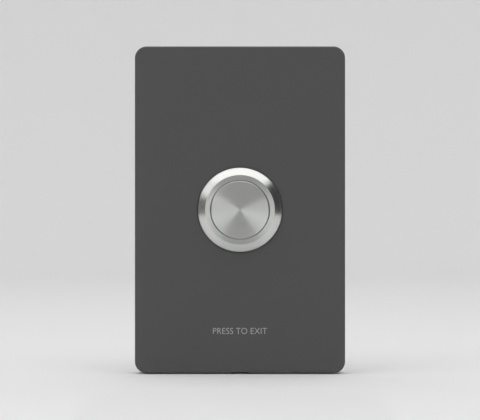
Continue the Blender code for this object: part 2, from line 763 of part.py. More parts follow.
def make_terminal_base(parent):
    """The black base behind the switch body, with two walls between the three terminals."""
    radius = SWITCH_FLANGE_RADIUS
    spigot_front = BASE_FRONT + BASE_SPIGOT
    plain = disc(radius, BASE_BACK, BASE_FRONT, MEDIUM_ROUND)
    base = piece("terminal_base", plain, parent, "black_plastic")
    across, up = CAVITY_ACROSS - SEAT_GAP, CAVITY_UP - SEAT_GAP
    add(base, box(-across, across, -up, up, BASE_FRONT - OVERCUT, spigot_front))
    for side in (-1, 1):
        middle = side * TERMINAL_PITCH / 2
        reach = math.sqrt(radius**2 - (TERMINAL_PITCH / 2) ** 2) - BARRIER_WALL
        left, right = middle - BARRIER_WALL / 2, middle + BARRIER_WALL / 2
        add(base, box(left, right, -reach, reach, BASE_BACK - BARRIER_HEIGHT, BASE_BACK + OVERCUT))
    half = STRIP_WIDTH / 2 + SEAT_GAP
    for left, right in leg_positions().values():
        left, right = left - SEAT_GAP, right + SEAT_GAP
        cut(base, box(left, right, -half, half, BASE_BACK - OVERCUT, spigot_front + OVERCUT))
    for name in leg_positions():
        bore = disc(TERMINAL_THREAD / 2 + SEAT_GAP, BASE_BACK - OVERCUT, TAB_BACK + TERMINAL_LENGTH)
        cut(base, bore, (terminal_middle(name), 0, 0))
    for level in (-1, 1):
        bore = disc(BASE_SCREW_THREAD / 2 + SEAT_GAP, BASE_BACK - OVERCUT, BASE_FRONT + OVERCUT)
        cut(base, bore, (0, level * BASE_SCREWS_APART / 2, 0))
    return base


def make_terminal(parent, name, path_end):
    """One bent brass strip: a leg through the base, a tab for the screw, and its contact foot."""
    left, right = leg_positions()[name]
    middle = terminal_middle(name)
    tab_left, tab_right = middle - TAB_LENGTH / 2, middle + TAB_LENGTH / 2
    tab_left, tab_right = min(tab_left, left), max(tab_right, right)
    half = STRIP_WIDTH / 2
    terminal = piece(
        f"terminal_{name}", box(left, right, -half, half, TAB_BACK, path_end), parent, "brass"
    )
    add(terminal, box(tab_left, tab_right, -half, half, TAB_BACK, TAB_FRONT))
    hole = disc(TERMINAL_THREAD / 2 + SEAT_GAP, TAB_BACK - OVERCUT, TAB_FRONT + OVERCUT)
    cut(terminal, hole, (middle, 0, 0))
    return terminal


def make_terminals(parent):
    """The three terminals with their contacts, and the screws in their tabs."""
    make_terminal(parent, "common", BLADE_FRONT + SEAT_GAP)

    half = STRIP_WIDTH / 2
    closed = make_terminal(parent, "closed", CLOSED_FOOT_FRONT)
    foot_inner = CONTACT_AT - CONTACT_DIAMETER / 2
    foot_outer = LEG_OFFSET + STRIP
    foot_back = CLOSED_FOOT_FRONT - STRIP
    add(closed, box(foot_inner, foot_outer, -half, half, foot_back, CLOSED_FOOT_FRONT))
    rivet = disc(CONTACT_DIAMETER / 2, CLOSED_TIP, foot_back + STRIP / 2)
    add(closed, rivet, (CONTACT_AT, 0, 0))

    opened = make_terminal(parent, "open", OPEN_FOOT_FRONT)
    foot_inner = leg_positions()["open"][0]
    foot_outer = CONTACT_AT + CONTACT_DIAMETER / 2
    foot_back = OPEN_FOOT_FRONT - STRIP
    add(opened, box(foot_inner, foot_outer, -half, half, foot_back, OPEN_FOOT_FRONT))
    rivet = disc(CONTACT_DIAMETER / 2, foot_back + STRIP / 2, OPEN_TIP)
    add(opened, rivet, (CONTACT_AT, 0, 0))


def make_rear_screws(parent):
    """The three terminal screws and the two that hold the base, all put in from behind."""
    behind = empty("seen_from_behind", parent, rotation=(0, math.pi, 0))
    sizes = Screw(TERMINAL_HEAD, TERMINAL_HEAD_HEIGHT, TERMINAL_THREAD, TERMINAL_LENGTH)
    across, up = TERMINAL_HEAD, SLOT_WIDTH / 2
    slot = [(-across, -up), (across, -up), (across, up), (-across, up)]
    for name in leg_positions():
        place = (-terminal_middle(name), 0, SEAT_GAP - TAB_BACK)
        make_screw(f"terminal_screw_{name}", behind, place, sizes, slot)

    sizes = Screw(BASE_SCREW_HEAD, BASE_SCREW_HEAD_HEIGHT, BASE_SCREW_THREAD, BASE_SCREW_LENGTH)
    recess = cross_outline(BASE_RECESS, BASE_RECESS_WIDTH)
    half = BASE_SCREWS_APART / 2
    make_screw("base_screw_upper", behind, (0, half, SEAT_GAP - BASE_BACK), sizes, recess)
    make_screw("base_screw_lower", behind, (0, -half, SEAT_GAP - BASE_BACK), sizes, recess)


def main():
    """Builds the plate, the fixed half of the button and what moves with its cap."""
    clear_scene()
    plate = empty("plate_frame", rotation=(math.pi / 2, 0, 0))
    make_cover(plate)
    make_grid(plate)
    make_fixing_screws(plate)
    make_housing(plate)
    make_gasket(plate)
    make_lock_washer(plate)
    make_lock_nut(plate)
    make_switch_body(plate)
    make_terminal_base(plate)
    make_terminals(plate)
    make_rear_screws(plate)
    make_return_spring(plate)

    slide = empty("cap_slide", plate)
    make_cap(slide)
    make_cap_seal(slide)
    make_plunger(slide)
    make_moving_contact(slide)


main()
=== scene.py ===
"""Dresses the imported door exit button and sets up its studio.

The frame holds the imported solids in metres: +Z up, the face towards -Y and the wall
at y = 0. Each class below builds one sub-assembly of the visual model on that frame,
from bmesh operators, and gives it the finish of the real piece.
"""

from __future__ import annotations

import logging
import math
from collections.abc import Callable, Sequence
from dataclasses import dataclass
from enum import Enum

import bmesh
import bpy
from bmesh.types import BMEdge, BMesh, BMFace, BMVert
from bpy.types import Material, Node, NodeSocket, Object, ShaderNodeTree
from mathutils import Matrix, Vector


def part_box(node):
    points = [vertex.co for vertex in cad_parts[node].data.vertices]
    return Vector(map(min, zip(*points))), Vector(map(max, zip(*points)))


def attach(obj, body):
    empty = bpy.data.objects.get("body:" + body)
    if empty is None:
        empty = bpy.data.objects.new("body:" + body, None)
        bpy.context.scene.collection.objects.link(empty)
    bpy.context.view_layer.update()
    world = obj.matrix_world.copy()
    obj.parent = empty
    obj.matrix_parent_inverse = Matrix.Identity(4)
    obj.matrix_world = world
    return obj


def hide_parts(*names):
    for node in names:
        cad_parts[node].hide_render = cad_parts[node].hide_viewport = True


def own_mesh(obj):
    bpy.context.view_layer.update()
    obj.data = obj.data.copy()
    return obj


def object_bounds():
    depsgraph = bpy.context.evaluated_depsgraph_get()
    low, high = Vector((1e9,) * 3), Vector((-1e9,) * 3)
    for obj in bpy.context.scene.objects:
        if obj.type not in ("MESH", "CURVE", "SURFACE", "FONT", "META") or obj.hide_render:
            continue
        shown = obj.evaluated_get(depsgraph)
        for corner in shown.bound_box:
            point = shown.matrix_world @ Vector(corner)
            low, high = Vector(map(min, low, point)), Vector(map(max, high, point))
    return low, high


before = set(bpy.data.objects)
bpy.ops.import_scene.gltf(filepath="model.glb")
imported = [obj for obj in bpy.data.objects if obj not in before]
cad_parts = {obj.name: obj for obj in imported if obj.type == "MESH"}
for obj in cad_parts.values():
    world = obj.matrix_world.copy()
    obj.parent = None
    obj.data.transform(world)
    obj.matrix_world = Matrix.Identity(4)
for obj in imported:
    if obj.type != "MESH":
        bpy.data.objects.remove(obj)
CAD_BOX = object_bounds()

LOG = logging.getLogger("door_exit_button")

MM = 0.001
SEAT = 0.3 * MM  # between two pieces that bear on each other
WELD = 0.0005 * MM  # points that lie closer are one
LEVEL = 1e-7  # coordinates that differ by less are the same
ORIGIN = (0, 0, 0)
AXIS = (0, 1, 0)  # of the button
SIDES = (-1, 1)  # left and right, or below and above
PLATE_BODY = "plate"
BUTTON_BODY = "button"
WEB_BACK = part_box("lock_washer")[0].y - SEAT

Place = Sequence[float]
Profile = Sequence[tuple[float, float]]
Colour = tuple[float, float, float, float]


# Finishes


def linear(hex_colour: str) -> Colour:
    """Turns an sRGB hex value into a linear colour.

    Args:
        hex_colour: The colour as in "#505050".

    Returns:
        Red, green, blue and an alpha of 1.
    """
    channels = [int(hex_colour[i : i + 2], 16) / 255 for i in (1, 3, 5)]
    red, green, blue = [c / 12.92 if c <= 0.04045 else ((c + 0.055) / 1.055) ** 2.4 for c in channels]
    return red, green, blue, 1.0


def add_node(
    tree: ShaderNodeTree,
    kind: str,
    settings: dict[str | int, object] | None = None,
    links: dict[str | int, NodeSocket] | None = None,
) -> Node:
    """Adds one node with its settings and links.

    Args:
        tree: The node tree to add to.
        kind: The node's type, such as "ShaderNodeBump".
        settings: Properties or socket values, by name or by the socket's number.
        links: What each named or numbered socket is fed from.

    Returns:
        The new node.
    """
    node = tree.nodes.new(kind)
    for name, value in (settings or {}).items():
        if isinstance(name, str) and hasattr(node, name):
            setattr(node, name, value)
        else:
            node.inputs[name].default_value = value
    for name, source in (links or {}).items():
        tree.links.new(source, node.inputs[name])
    return node


@dataclass(frozen=True)
class Finish:
    """A surface: what it is made of and how it was made.

    Attributes:
        name: The material's name.
        colour: Base colour as sRGB hex.
        roughness: Mean roughness.
        slot: The record's material slot for it. It is not used.
        metallic: 1 for bare metal, otherwise 0.
        uneven: How much the roughness varies over the surface.
    """

    name: str
    colour: str
    roughness: float
    slot: str = ""
    metallic: float = 0.0
    uneven: float = 0.0

    def material(self) -> Material:
        """Makes the material when it is first asked for.

        Returns:
            The material.
        """
        found = bpy.data.materials.get(self.name)
        if found:
            return found
        fresh = bpy.data.materials.new(self.name)
        fresh.use_nodes = True
        tree = fresh.node_tree
        shader = tree.nodes["Principled BSDF"]
        shader.inputs["Base Color"].default_value = linear(self.colour)
        shader.inputs["Roughness"].default_value = self.roughness
        shader.inputs["Metallic"].default_value = self.metallic
        place = add_node(tree, "ShaderNodeTexCoord").outputs["Object"]
        self.dress(tree, shader, place)
        return fresh

    def dress(self, tree: ShaderNodeTree, shader: Node, place: NodeSocket) -> None:
        """Adds the surface's pattern, from its place in metres. A plain finish has none."""

    def mark(
        self, tree: ShaderNodeTree, shader: Node, tone: NodeSocket, height: NodeSocket, relief: float
    ) -> None:
        """Lets one pattern vary the gloss and another raise the surface.

        Args:
            tree: The material's tree.
            shader: Its Principled shader.
            tone: The pattern that varies the gloss.
            height: The pattern that raises the surface.
            relief: How high it does.
        """
        least, most = self.roughness - self.uneven, self.roughness + self.uneven
        gloss = add_node(tree, "ShaderNodeMapRange", {"To Min": least, "To Max": most}, {"Value": tone})
        bump = add_node(tree, "ShaderNodeBump", {"Strength": 1.0, "Distance": relief}, {"Height": height})
        tree.links.new(gloss.outputs["Result"], shader.inputs["Roughness"])
        tree.links.new(bump.outputs["Normal"], shader.inputs["Normal"])


@dataclass(frozen=True)
class MouldedPlastic(Finish):
    """Injection moulded plastic with the fine matt grain of a spark-eroded mould.

    Attributes:
        grain: Distance between the grain's bumps.
        relief: Height of the bumps.
        flow: Distance between the patches where the gloss changes.
    """

    uneven: float = 0.04
    grain: float = 0.35 * MM
    relief: float = 0.006 * MM
    flow: float = 25 * MM

    def dress(self, tree: ShaderNodeTree, shader: Node, place: NodeSocket) -> None:
        """Adds the grain and a slow change of gloss.

        Args:
            tree: The material's tree.
            shader: Its Principled shader.
            place: Object coordinates in metres.
        """
        kind = "ShaderNodeTexNoise"
        flow = add_node(tree, kind, {"Scale": 1 / self.flow, "Detail": 1.0}, {"Vector": place})
        fine = {"Scale": 1 / self.grain, "Detail": 2.0, "Roughness": 0.6}
        grain = add_node(tree, kind, fine, {"Vector": place})
        self.mark(tree, shader, flow.outputs["Fac"], grain.outputs["Fac"], self.relief)


@dataclass(frozen=True)
class TurnedSteel(Finish):
    """Stainless steel faced in a lathe and brushed as it turned, so the grain runs in circles.

    The grain spreads each highlight along the radius, which draws bright and dark wedges
    on a flat face.

    Attributes:
        groove: Distance between the rings that show. The real ones are about a tenth of it.
        relief: Depth of the rings.
        stretch: How strongly the grain stretches a highlight.
        lean: How far each ring leans outwards, in degrees, as a facing cut leaves it.
    """

    uneven: float = 0.05
    groove: float = 0.30 * MM
    relief: float = 0.0010 * MM
    stretch: float = 0.85
    lean: float = 0.0

    def dress(self, tree: ShaderNodeTree, shader: Node, place: NodeSocket) -> None:
        """Adds the rings, their lean and the direction of the grain.

        Args:
            tree: The material's tree.
            shader: Its Principled shader.
            place: Object coordinates in metres.
        """
        shader.inputs["Anisotropic"].default_value = self.stretch
        kind = "ShaderNodeVectorMath"
        across = add_node(tree, kind, {"operation": "MULTIPLY", 1: (1.0, 0.0, 1.0)}, {0: place}).outputs[0]
        radius = add_node(tree, kind, {"operation": "LENGTH"}, {0: across}).outputs["Value"]
        outward = add_node(tree, kind, {"operation": "NORMALIZE"}, {0: across}).outputs[0]
        # Outwards and along the axis at once: each surface takes the part that lies along it.
        along = add_node(tree, kind, {"operation": "ADD", 1: AXIS}, {0: outward}).outputs[0]
        spaces = {"vector_type": "VECTOR", "convert_from": "OBJECT", "convert_to": "WORLD"}
        tangent = add_node(tree, "ShaderNodeVectorTransform", spaces, {"Vector": along})
        tree.links.new(tangent.outputs["Vector"], shader.inputs["Tangent"])

        fine = {"noise_dimensions": "1D", "Scale": 1 / self.groove, "Detail": 3.0, "Roughness": 0.7}
        rings = add_node(tree, "ShaderNodeTexNoise", fine, {"W": radius}).outputs["Fac"]
        kind = "ShaderNodeMath"
        depth = add_node(tree, kind, {"operation": "MULTIPLY", 1: self.relief}, {0: rings}).outputs[0]
        fall = {"operation": "MULTIPLY_ADD", 1: -math.tan(math.radians(self.lean))}
        height = add_node(tree, kind, fall, {0: radius, 2: depth}).outputs[0]
        self.mark(tree, shader, rings, height, 1.0)


@dataclass(frozen=True)
class PlatedMetal(Finish):
    """Stamped or turned metal with a plated, rolled or drawn skin, slightly mottled.

    Attributes:
        mottle: Size of the patches in the skin.
        relief: Height of the surface's waves.
        drawn: How many times longer the patches are along x, y and z, as rolling leaves them.
        worn: Colour of the thinner patches, as sRGB hex.
    """

    uneven: float = 0.08
    mottle: float = 0.8 * MM
    relief: float = 0.002 * MM
    drawn: tuple[float, float, float] = (1.0, 1.0, 1.0)
    worn: str = "#AEB1B3"

    def dress(self, tree: ShaderNodeTree, shader: Node, place: NodeSocket) -> None:
        """Adds the mottling.

        Args:
            tree: The material's tree.
            shader: Its Principled shader.
            place: Object coordinates in metres.
        """
        scale = tuple(1 / length for length in self.drawn)
        laid = add_node(tree, "ShaderNodeMapping", {"Scale": scale}, {"Vector": place}).outputs["Vector"]
        fine = {"Scale": 1 / self.mottle, "Detail": 3.0, "Roughness": 0.6}
        patches = add_node(tree, "ShaderNodeTexNoise", fine, {"Vector": laid}).outputs["Fac"]
        tones = {"data_type": "RGBA", 6: linear(self.worn), 7: linear(self.colour)}
        tone = add_node(tree, "ShaderNodeMix", tones, {0: patches})
        tree.links.new(tone.outputs[2], shader.inputs["Base Color"])
        self.mark(tree, shader, patches, patches, self.relief)


# Flame-retardant ABS, moulded and matt: an even charcoal with hardly any sheen.
COVER_ABS = MouldedPlastic("moulded_charcoal_abs", "#4E4E4E", 0.62, "charcoal_plastic")
# Light grey polycarbonate of the hidden grid, moulded with a satin skin.
GRID_PC = MouldedPlastic(
    "moulded_grey_polycarbonate", "#C9C9C6", 0.48, "grid_plastic", relief=0.004 * MM
)
# Glass-filled nylon of the switch: black, with a slightly rougher grain.
SWITCH_NYLON = MouldedPlastic("moulded_black_nylon", "#232324", 0.45, "black_plastic", grain=0.25 * MM)
# Unfilled acetal of the plunger: milky white and slippery.
PLUNGER_ACETAL = MouldedPlastic(
    "moulded_white_acetal", "#E6E4DE", 0.35, "white_plastic", relief=0.001 * MM
)
# Nitrile rubber of the seals: black and dull.
SEAL_RUBBER = MouldedPlastic("moulded_nitrile_rubber", "#161616", 0.78, "rubber", grain=0.2 * MM)
# Stainless steel, faced and brushed in circles: the face that is pressed and its surround.
FACED_STEEL = TurnedSteel("faced_stainless_steel", "#E6E8E4", 0.34, "stainless_steel", 1.0, lean=5.0)
# The same steel on the cone and barrel, straight from the lathe: brighter, with crisper lights.
TURNED_STEEL = TurnedSteel(
    "turned_stainless_steel", "#D6D7D5", 0.26, "stainless_steel", 1.0, uneven=0.03, stretch=0.6
)
# Zinc-plated steel of the nut, washer and screws: bluish and a little mottled.
ZINC_STEEL = PlatedMetal("zinc_plated_steel", "#C6C9CC", 0.34, "zinc_steel", 1.0)
# Drawn spring wire, darker than the screws.
SPRING_WIRE = PlatedMetal(
    "drawn_spring_wire", "#ABA9A5", 0.30, "spring_steel", 1.0, mottle=0.4 * MM, worn="#8F8D89"
)
# Brass strip of the terminals, rolled across and stamped: warm, with fine streaks.
TERMINAL_BRASS = PlatedMetal(
    "rolled_brass_strip",
    "#D0AC60",
    0.30,
    "brass",
    1.0,
    mottle=0.15 * MM,
    drawn=(12.0, 1.0, 1.0),
    worn="#B08C48",
)
# Pad-printing ink of the legend: light grey and matt.
LEGEND_INK = MouldedPlastic("pad_printed_grey_ink", "#B8B8B8", 0.60, relief=0.001 * MM)


# Making pieces


class Join(Enum):
    """How one solid changes another."""

    ADD = "UNION"
    CUT = "DIFFERENCE"
    KEEP = "INTERSECT"


Step = tuple[Join, BMesh]


def made(name: str, shape: BMesh, finish: Finish | None = None) -> Object:
    """Makes an object from a bmesh.

    Args:
        name: Its name.
        shape: Its shape, in place. It is freed.
        finish: Its finish, if it is seen.

    Returns:
        The object.
    """
    mesh = bpy.data.meshes.new(name)
    shape.to_mesh(mesh)
    shape.free()
    if finish:
        mesh.materials.append(finish.material())
    thing = bpy.data.objects.new(name, mesh)
    bpy.context.scene.collection.objects.link(thing)
    return thing


def finished(
    name: str, shape: BMesh, finish: Finish, body: str, node: str = "", sharp: float = 25.0
) -> Object:
    """Makes a piece from a bmesh, dresses it and puts it on its body.

    Args:
        name: The piece's name.
        shape: Its shape, in place.
        finish: Its finish.
        body: The body that it rides on.
        node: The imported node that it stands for, if there is one.
        sharp: The angle in degrees past which an edge shows as an edge.

    Returns:
        The piece.
    """
    bmesh.ops.remove_doubles(shape, verts=shape.verts, dist=WELD)
    bmesh.ops.dissolve_verts(shape, verts=[v for v in shape.verts if len(v.link_edges) == 2])
    bmesh.ops.recalc_face_normals(shape, faces=shape.faces)
    piece = made(name, shape, finish)
    piece.data.shade_smooth()
    piece.data.set_sharp_from_angle(angle=math.radians(sharp))
    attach(piece, body)
    if node:
        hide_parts(node)
    LOG.info("%s: %d faces on %s", name, len(piece.data.polygons), body)
    return piece


def even_faces(piece: Object) -> Object:
    """Shades each large face flat up to its roundings.

    Args:
        piece: The piece.

    Returns:
        The same piece.
    """
    weighted = piece.modifiers.new("even_faces", "WEIGHTED_NORMAL")
    weighted.keep_sharp = True
    return piece


def moved(shape: BMesh, vec: Place) -> BMesh:
    """Shifts a shape and gives it back."""
    bmesh.ops.translate(shape, vec=vec, verts=shape.verts)
    return shape


def turned(shape: BMesh, degrees: float, axis: str = "Y") -> BMesh:
    """Turns a shape about an axis through the origin.

    Args:
        shape: The shape.
        degrees: How far it is turned.
        axis: The axis, "X", "Y" or "Z".

    Returns:
        The same shape.
    """
    turn = Matrix.Rotation(math.radians(degrees), 3, axis)
    bmesh.ops.rotate(shape, cent=ORIGIN, matrix=turn, verts=shape.verts)
    return shape


def extruded(shape: BMesh, vec: Place) -> BMesh:
    """Draws the faces of a flat shape out along a line.

    Args:
        shape: The flat shape.
        vec: How far, and which way.

    Returns:
        The same shape, now solid.
    """
    raised = bmesh.ops.extrude_face_region(shape, geom=shape.faces[:])["geom"]
    bmesh.ops.translate(shape, vec=vec, verts=[v for v in raised if isinstance(v, BMVert)])
    return shape


def prism(outline: Sequence[Place], vec: Place) -> BMesh:
    """A flat outline drawn out along a line.

    Args:
        outline: Its corners, in order.
        vec: How far it is drawn out, and which way.

    Returns:
        The shape.
    """
    shape = bmesh.new()
    shape.faces.new([shape.verts.new(corner) for corner in outline])
    return extruded(shape, vec)


def line(shape: BMesh, points: Sequence[Place], closed: bool = False) -> list[BMVert | BMEdge]:
    """Draws a line through points.

    Args:
        shape: What to draw it in.
        points: The points.
        closed: Whether it runs back to the first.

    Returns:
        Its corners and edges.
    """
    corners = [shape.verts.new(point) for point in points]
    ends = corners[1:] + corners[:1] if closed else corners[1:]
    return corners + [shape.edges.new(pair) for pair in zip(corners, ends)]


def spun(profile: Profile, steps: int) -> BMesh:
    """Turns a closed section about the button's axis.

    Args:
        profile: Points round the section, each a radius and a y.
        steps: Segments in a full turn.

    Returns:
        The shape.
    """
    shape = bmesh.new()
    section = line(shape, [(radius, y, 0) for radius, y in profile], closed=True)
    bmesh.ops.spin(
        shape, geom=section, cent=ORIGIN, axis=AXIS, angle=math.tau, steps=steps, use_merge=True
    )
    bmesh.ops.remove_doubles(shape, verts=shape.verts, dist=WELD)
    poles = [e for e in shape.edges if all(abs(v.co.x) + abs(v.co.z) < LEVEL for v in e.verts)]
    bmesh.ops.delete(shape, geom=poles, context="EDGES_FACES")
    return shape


def softened(profile: Profile, rounds: dict[int, float], steps: int = 4) -> list[tuple[float, float]]:
    """Rounds some corners of a profile.

    Args:
        profile: The profile's points.
        rounds: How far from its corner each rounding starts, by the corner's number.
        steps: Facets in a rounding.

    Returns:
        The new points.
    """
    points: list[tuple[float, float]] = []
    for i, corner in enumerate(profile):
        if i not in rounds:
            points.append(corner)
            continue
        middle = Vector(corner)
        ends = [Vector(profile[i - 1]), Vector(profile[(i + 1) % len(profile)])]
        start, end = [middle + rounds[i] * (other - middle).normalized() for other in ends]
        for step in range(steps + 1):
            part = step / steps
            there = start.lerp(middle, part).lerp(middle.lerp(end, part), part)
            points.append((there.x, there.y))
    return points


def at_y(level: float) -> Callable[[BMEdge], bool]:
    """A test for edges that lie at one y."""
    return lambda edge: all(abs(v.co.y - level) < LEVEL for v in edge.verts)


def bar(radius: float, back: float, front: float, across: float = 0.0, up: float = 0.0) -> BMesh:
    """A round bar along y, whose axis stands across and up from the button's."""
    return moved(spun([(0, back), (radius, back), (radius, front), (0, front)], 48), (across, 0, up))


def block(low: Place, high: Place, ease: float = 0.0) -> BMesh:
    """A block between two corners.

    Args:
        low: Its lowest corner.
        high: Its highest corner.
        ease: The radius of its edges, or 0 for sharp ones.

    Returns:
        The shape.
    """
    shape = bmesh.new()
    bmesh.ops.create_cube(shape, size=1.0)
    bmesh.ops.scale(shape, vec=[b - a for a, b in zip(low, high)], verts=shape.verts)
    if ease:
        ease_edges(shape, ease)
    return moved(shape, [(a + b) / 2 for a, b in zip(low, high)])


def ease_edges(
    shape: BMesh,
    width: float,
    angle: float = 40.0,
    segments: int = 2,
    chosen: Callable[[BMEdge], bool] = lambda edge: True,
) -> None:
    """Rounds the edges that are sharper than an angle, as tumbling or a mould's radius does.

    Args:
        shape: The shape.
        width: How wide the rounding is.
        angle: The least angle between the faces, in degrees.
        segments: Facets in the rounding.
        chosen: A further test for the edges.
    """
    bmesh.ops.recalc_face_normals(shape, faces=shape.faces)
    least = math.radians(angle)
    edges = [e for e in shape.edges if e.is_manifold and e.calc_face_angle() > least and chosen(e)]
    bmesh.ops.bevel(
        shape,
        geom=edges,
        offset=width,
        segments=segments,
        profile=0.5,
        affect="EDGES",
        clamp_overlap=True,
        material=-1,
    )


def panel(width: float, height: float, corner: float, back: float, front: float, steps: int) -> BMesh:
    """A slab with round corners that faces along y.

    Args:
        width: Its size along x.
        height: Its size along z.
        corner: The radius of its four corners.
        back: The y of its back.
        front: The y of its front.
        steps: Facets in each corner.

    Returns:
        The shape.
    """
    shape = bmesh.new()
    bmesh.ops.create_grid(shape, x_segments=1, y_segments=1, size=0.5)
    bmesh.ops.scale(shape, vec=(width, height, 1), verts=shape.verts)
    bmesh.ops.bevel(
        shape,
        geom=shape.verts[:],
        offset=corner,
        segments=steps,
        profile=0.5,
        affect="VERTICES",
        material=-1,
    )
    moved(turned(shape, 90, "X"), (0, back, 0))
    return extruded(shape, (0, front - back, 0))


def cutter(shape: BMesh) -> Object:
    """Makes a helper for a Boolean, which is removed once it is used."""
    bmesh.ops.recalc_face_normals(shape, faces=shape.faces)
    return made("cutter", shape)


def combined(shape: BMesh, steps: Sequence[Step]) -> BMesh:
    """Adds and cuts solids, one after the other.

    Args:
        shape: The shape to start from.
        steps: What is done, and with which solid, for each step.

    Returns:
        The result.
    """
    target = cutter(shape)
    helpers = []
    for join, other in steps:
        modifier = target.modifiers.new(join.name.lower(), "BOOLEAN")
        modifier.operation = join.value
        modifier.solver = "EXACT"
        modifier.object = cutter(other)
        helpers.append(modifier.object)
    bpy.context.view_layer.update()
    result = bmesh.new()
    result.from_object(target, bpy.context.evaluated_depsgraph_get())
    for helper in [target, *helpers]:
        mesh = helper.data
        bpy.data.objects.remove(helper)
        bpy.data.meshes.remove(mesh)
    return result


def threaded(core: float, crest: float, pitch: float, start: float, end: float, steps: int) -> BMesh:
    """A closed rod with a helical V thread, about the button's axis.

    Args:
        core: Radius at the thread's root.
        crest: Radius at its crest.
        pitch: Rise in one turn.
        start: The y at which it begins.
        end: The y at which it ends, larger than start.
        steps: Segments in a turn.

    Returns:
        The shape.
    """
    turns = math.ceil((end - start) / pitch) + 2
    flat = pitch / 8
    ridge = [(core, 0.0), (core, flat), (crest, pitch / 2), (crest, pitch / 2 + flat), (core, pitch)]
    shape = bmesh.new()
    bmesh.ops.spin(
        shape,
        geom=line(shape, [(radius, start - pitch + y, 0) for radius, y in ridge]),
        cent=ORIGIN,
        axis=AXIS,
        dvec=(0, pitch / steps, 0),
        angle=math.tau * turns,
        steps=steps * turns,
        use_merge=False,
    )
    bmesh.ops.remove_doubles(shape, verts=shape.verts, dist=WELD)
    for level, outer in ((start, False), (end, True)):
        bmesh.ops.bisect_plane(
            shape,
            geom=shape.verts[:] + shape.edges[:] + shape.faces[:],
            plane_co=(0, level, 0),
            plane_no=AXIS,
            clear_outer=outer,
            clear_inner=not outer,
        )
    for level in (start, end):
        at_end = at_y(level)
        bmesh.ops.holes_fill(shape, edges=[e for e in shape.edges if e.is_boundary and at_end(e)], sides=0)
    return shape


# The pieces in front


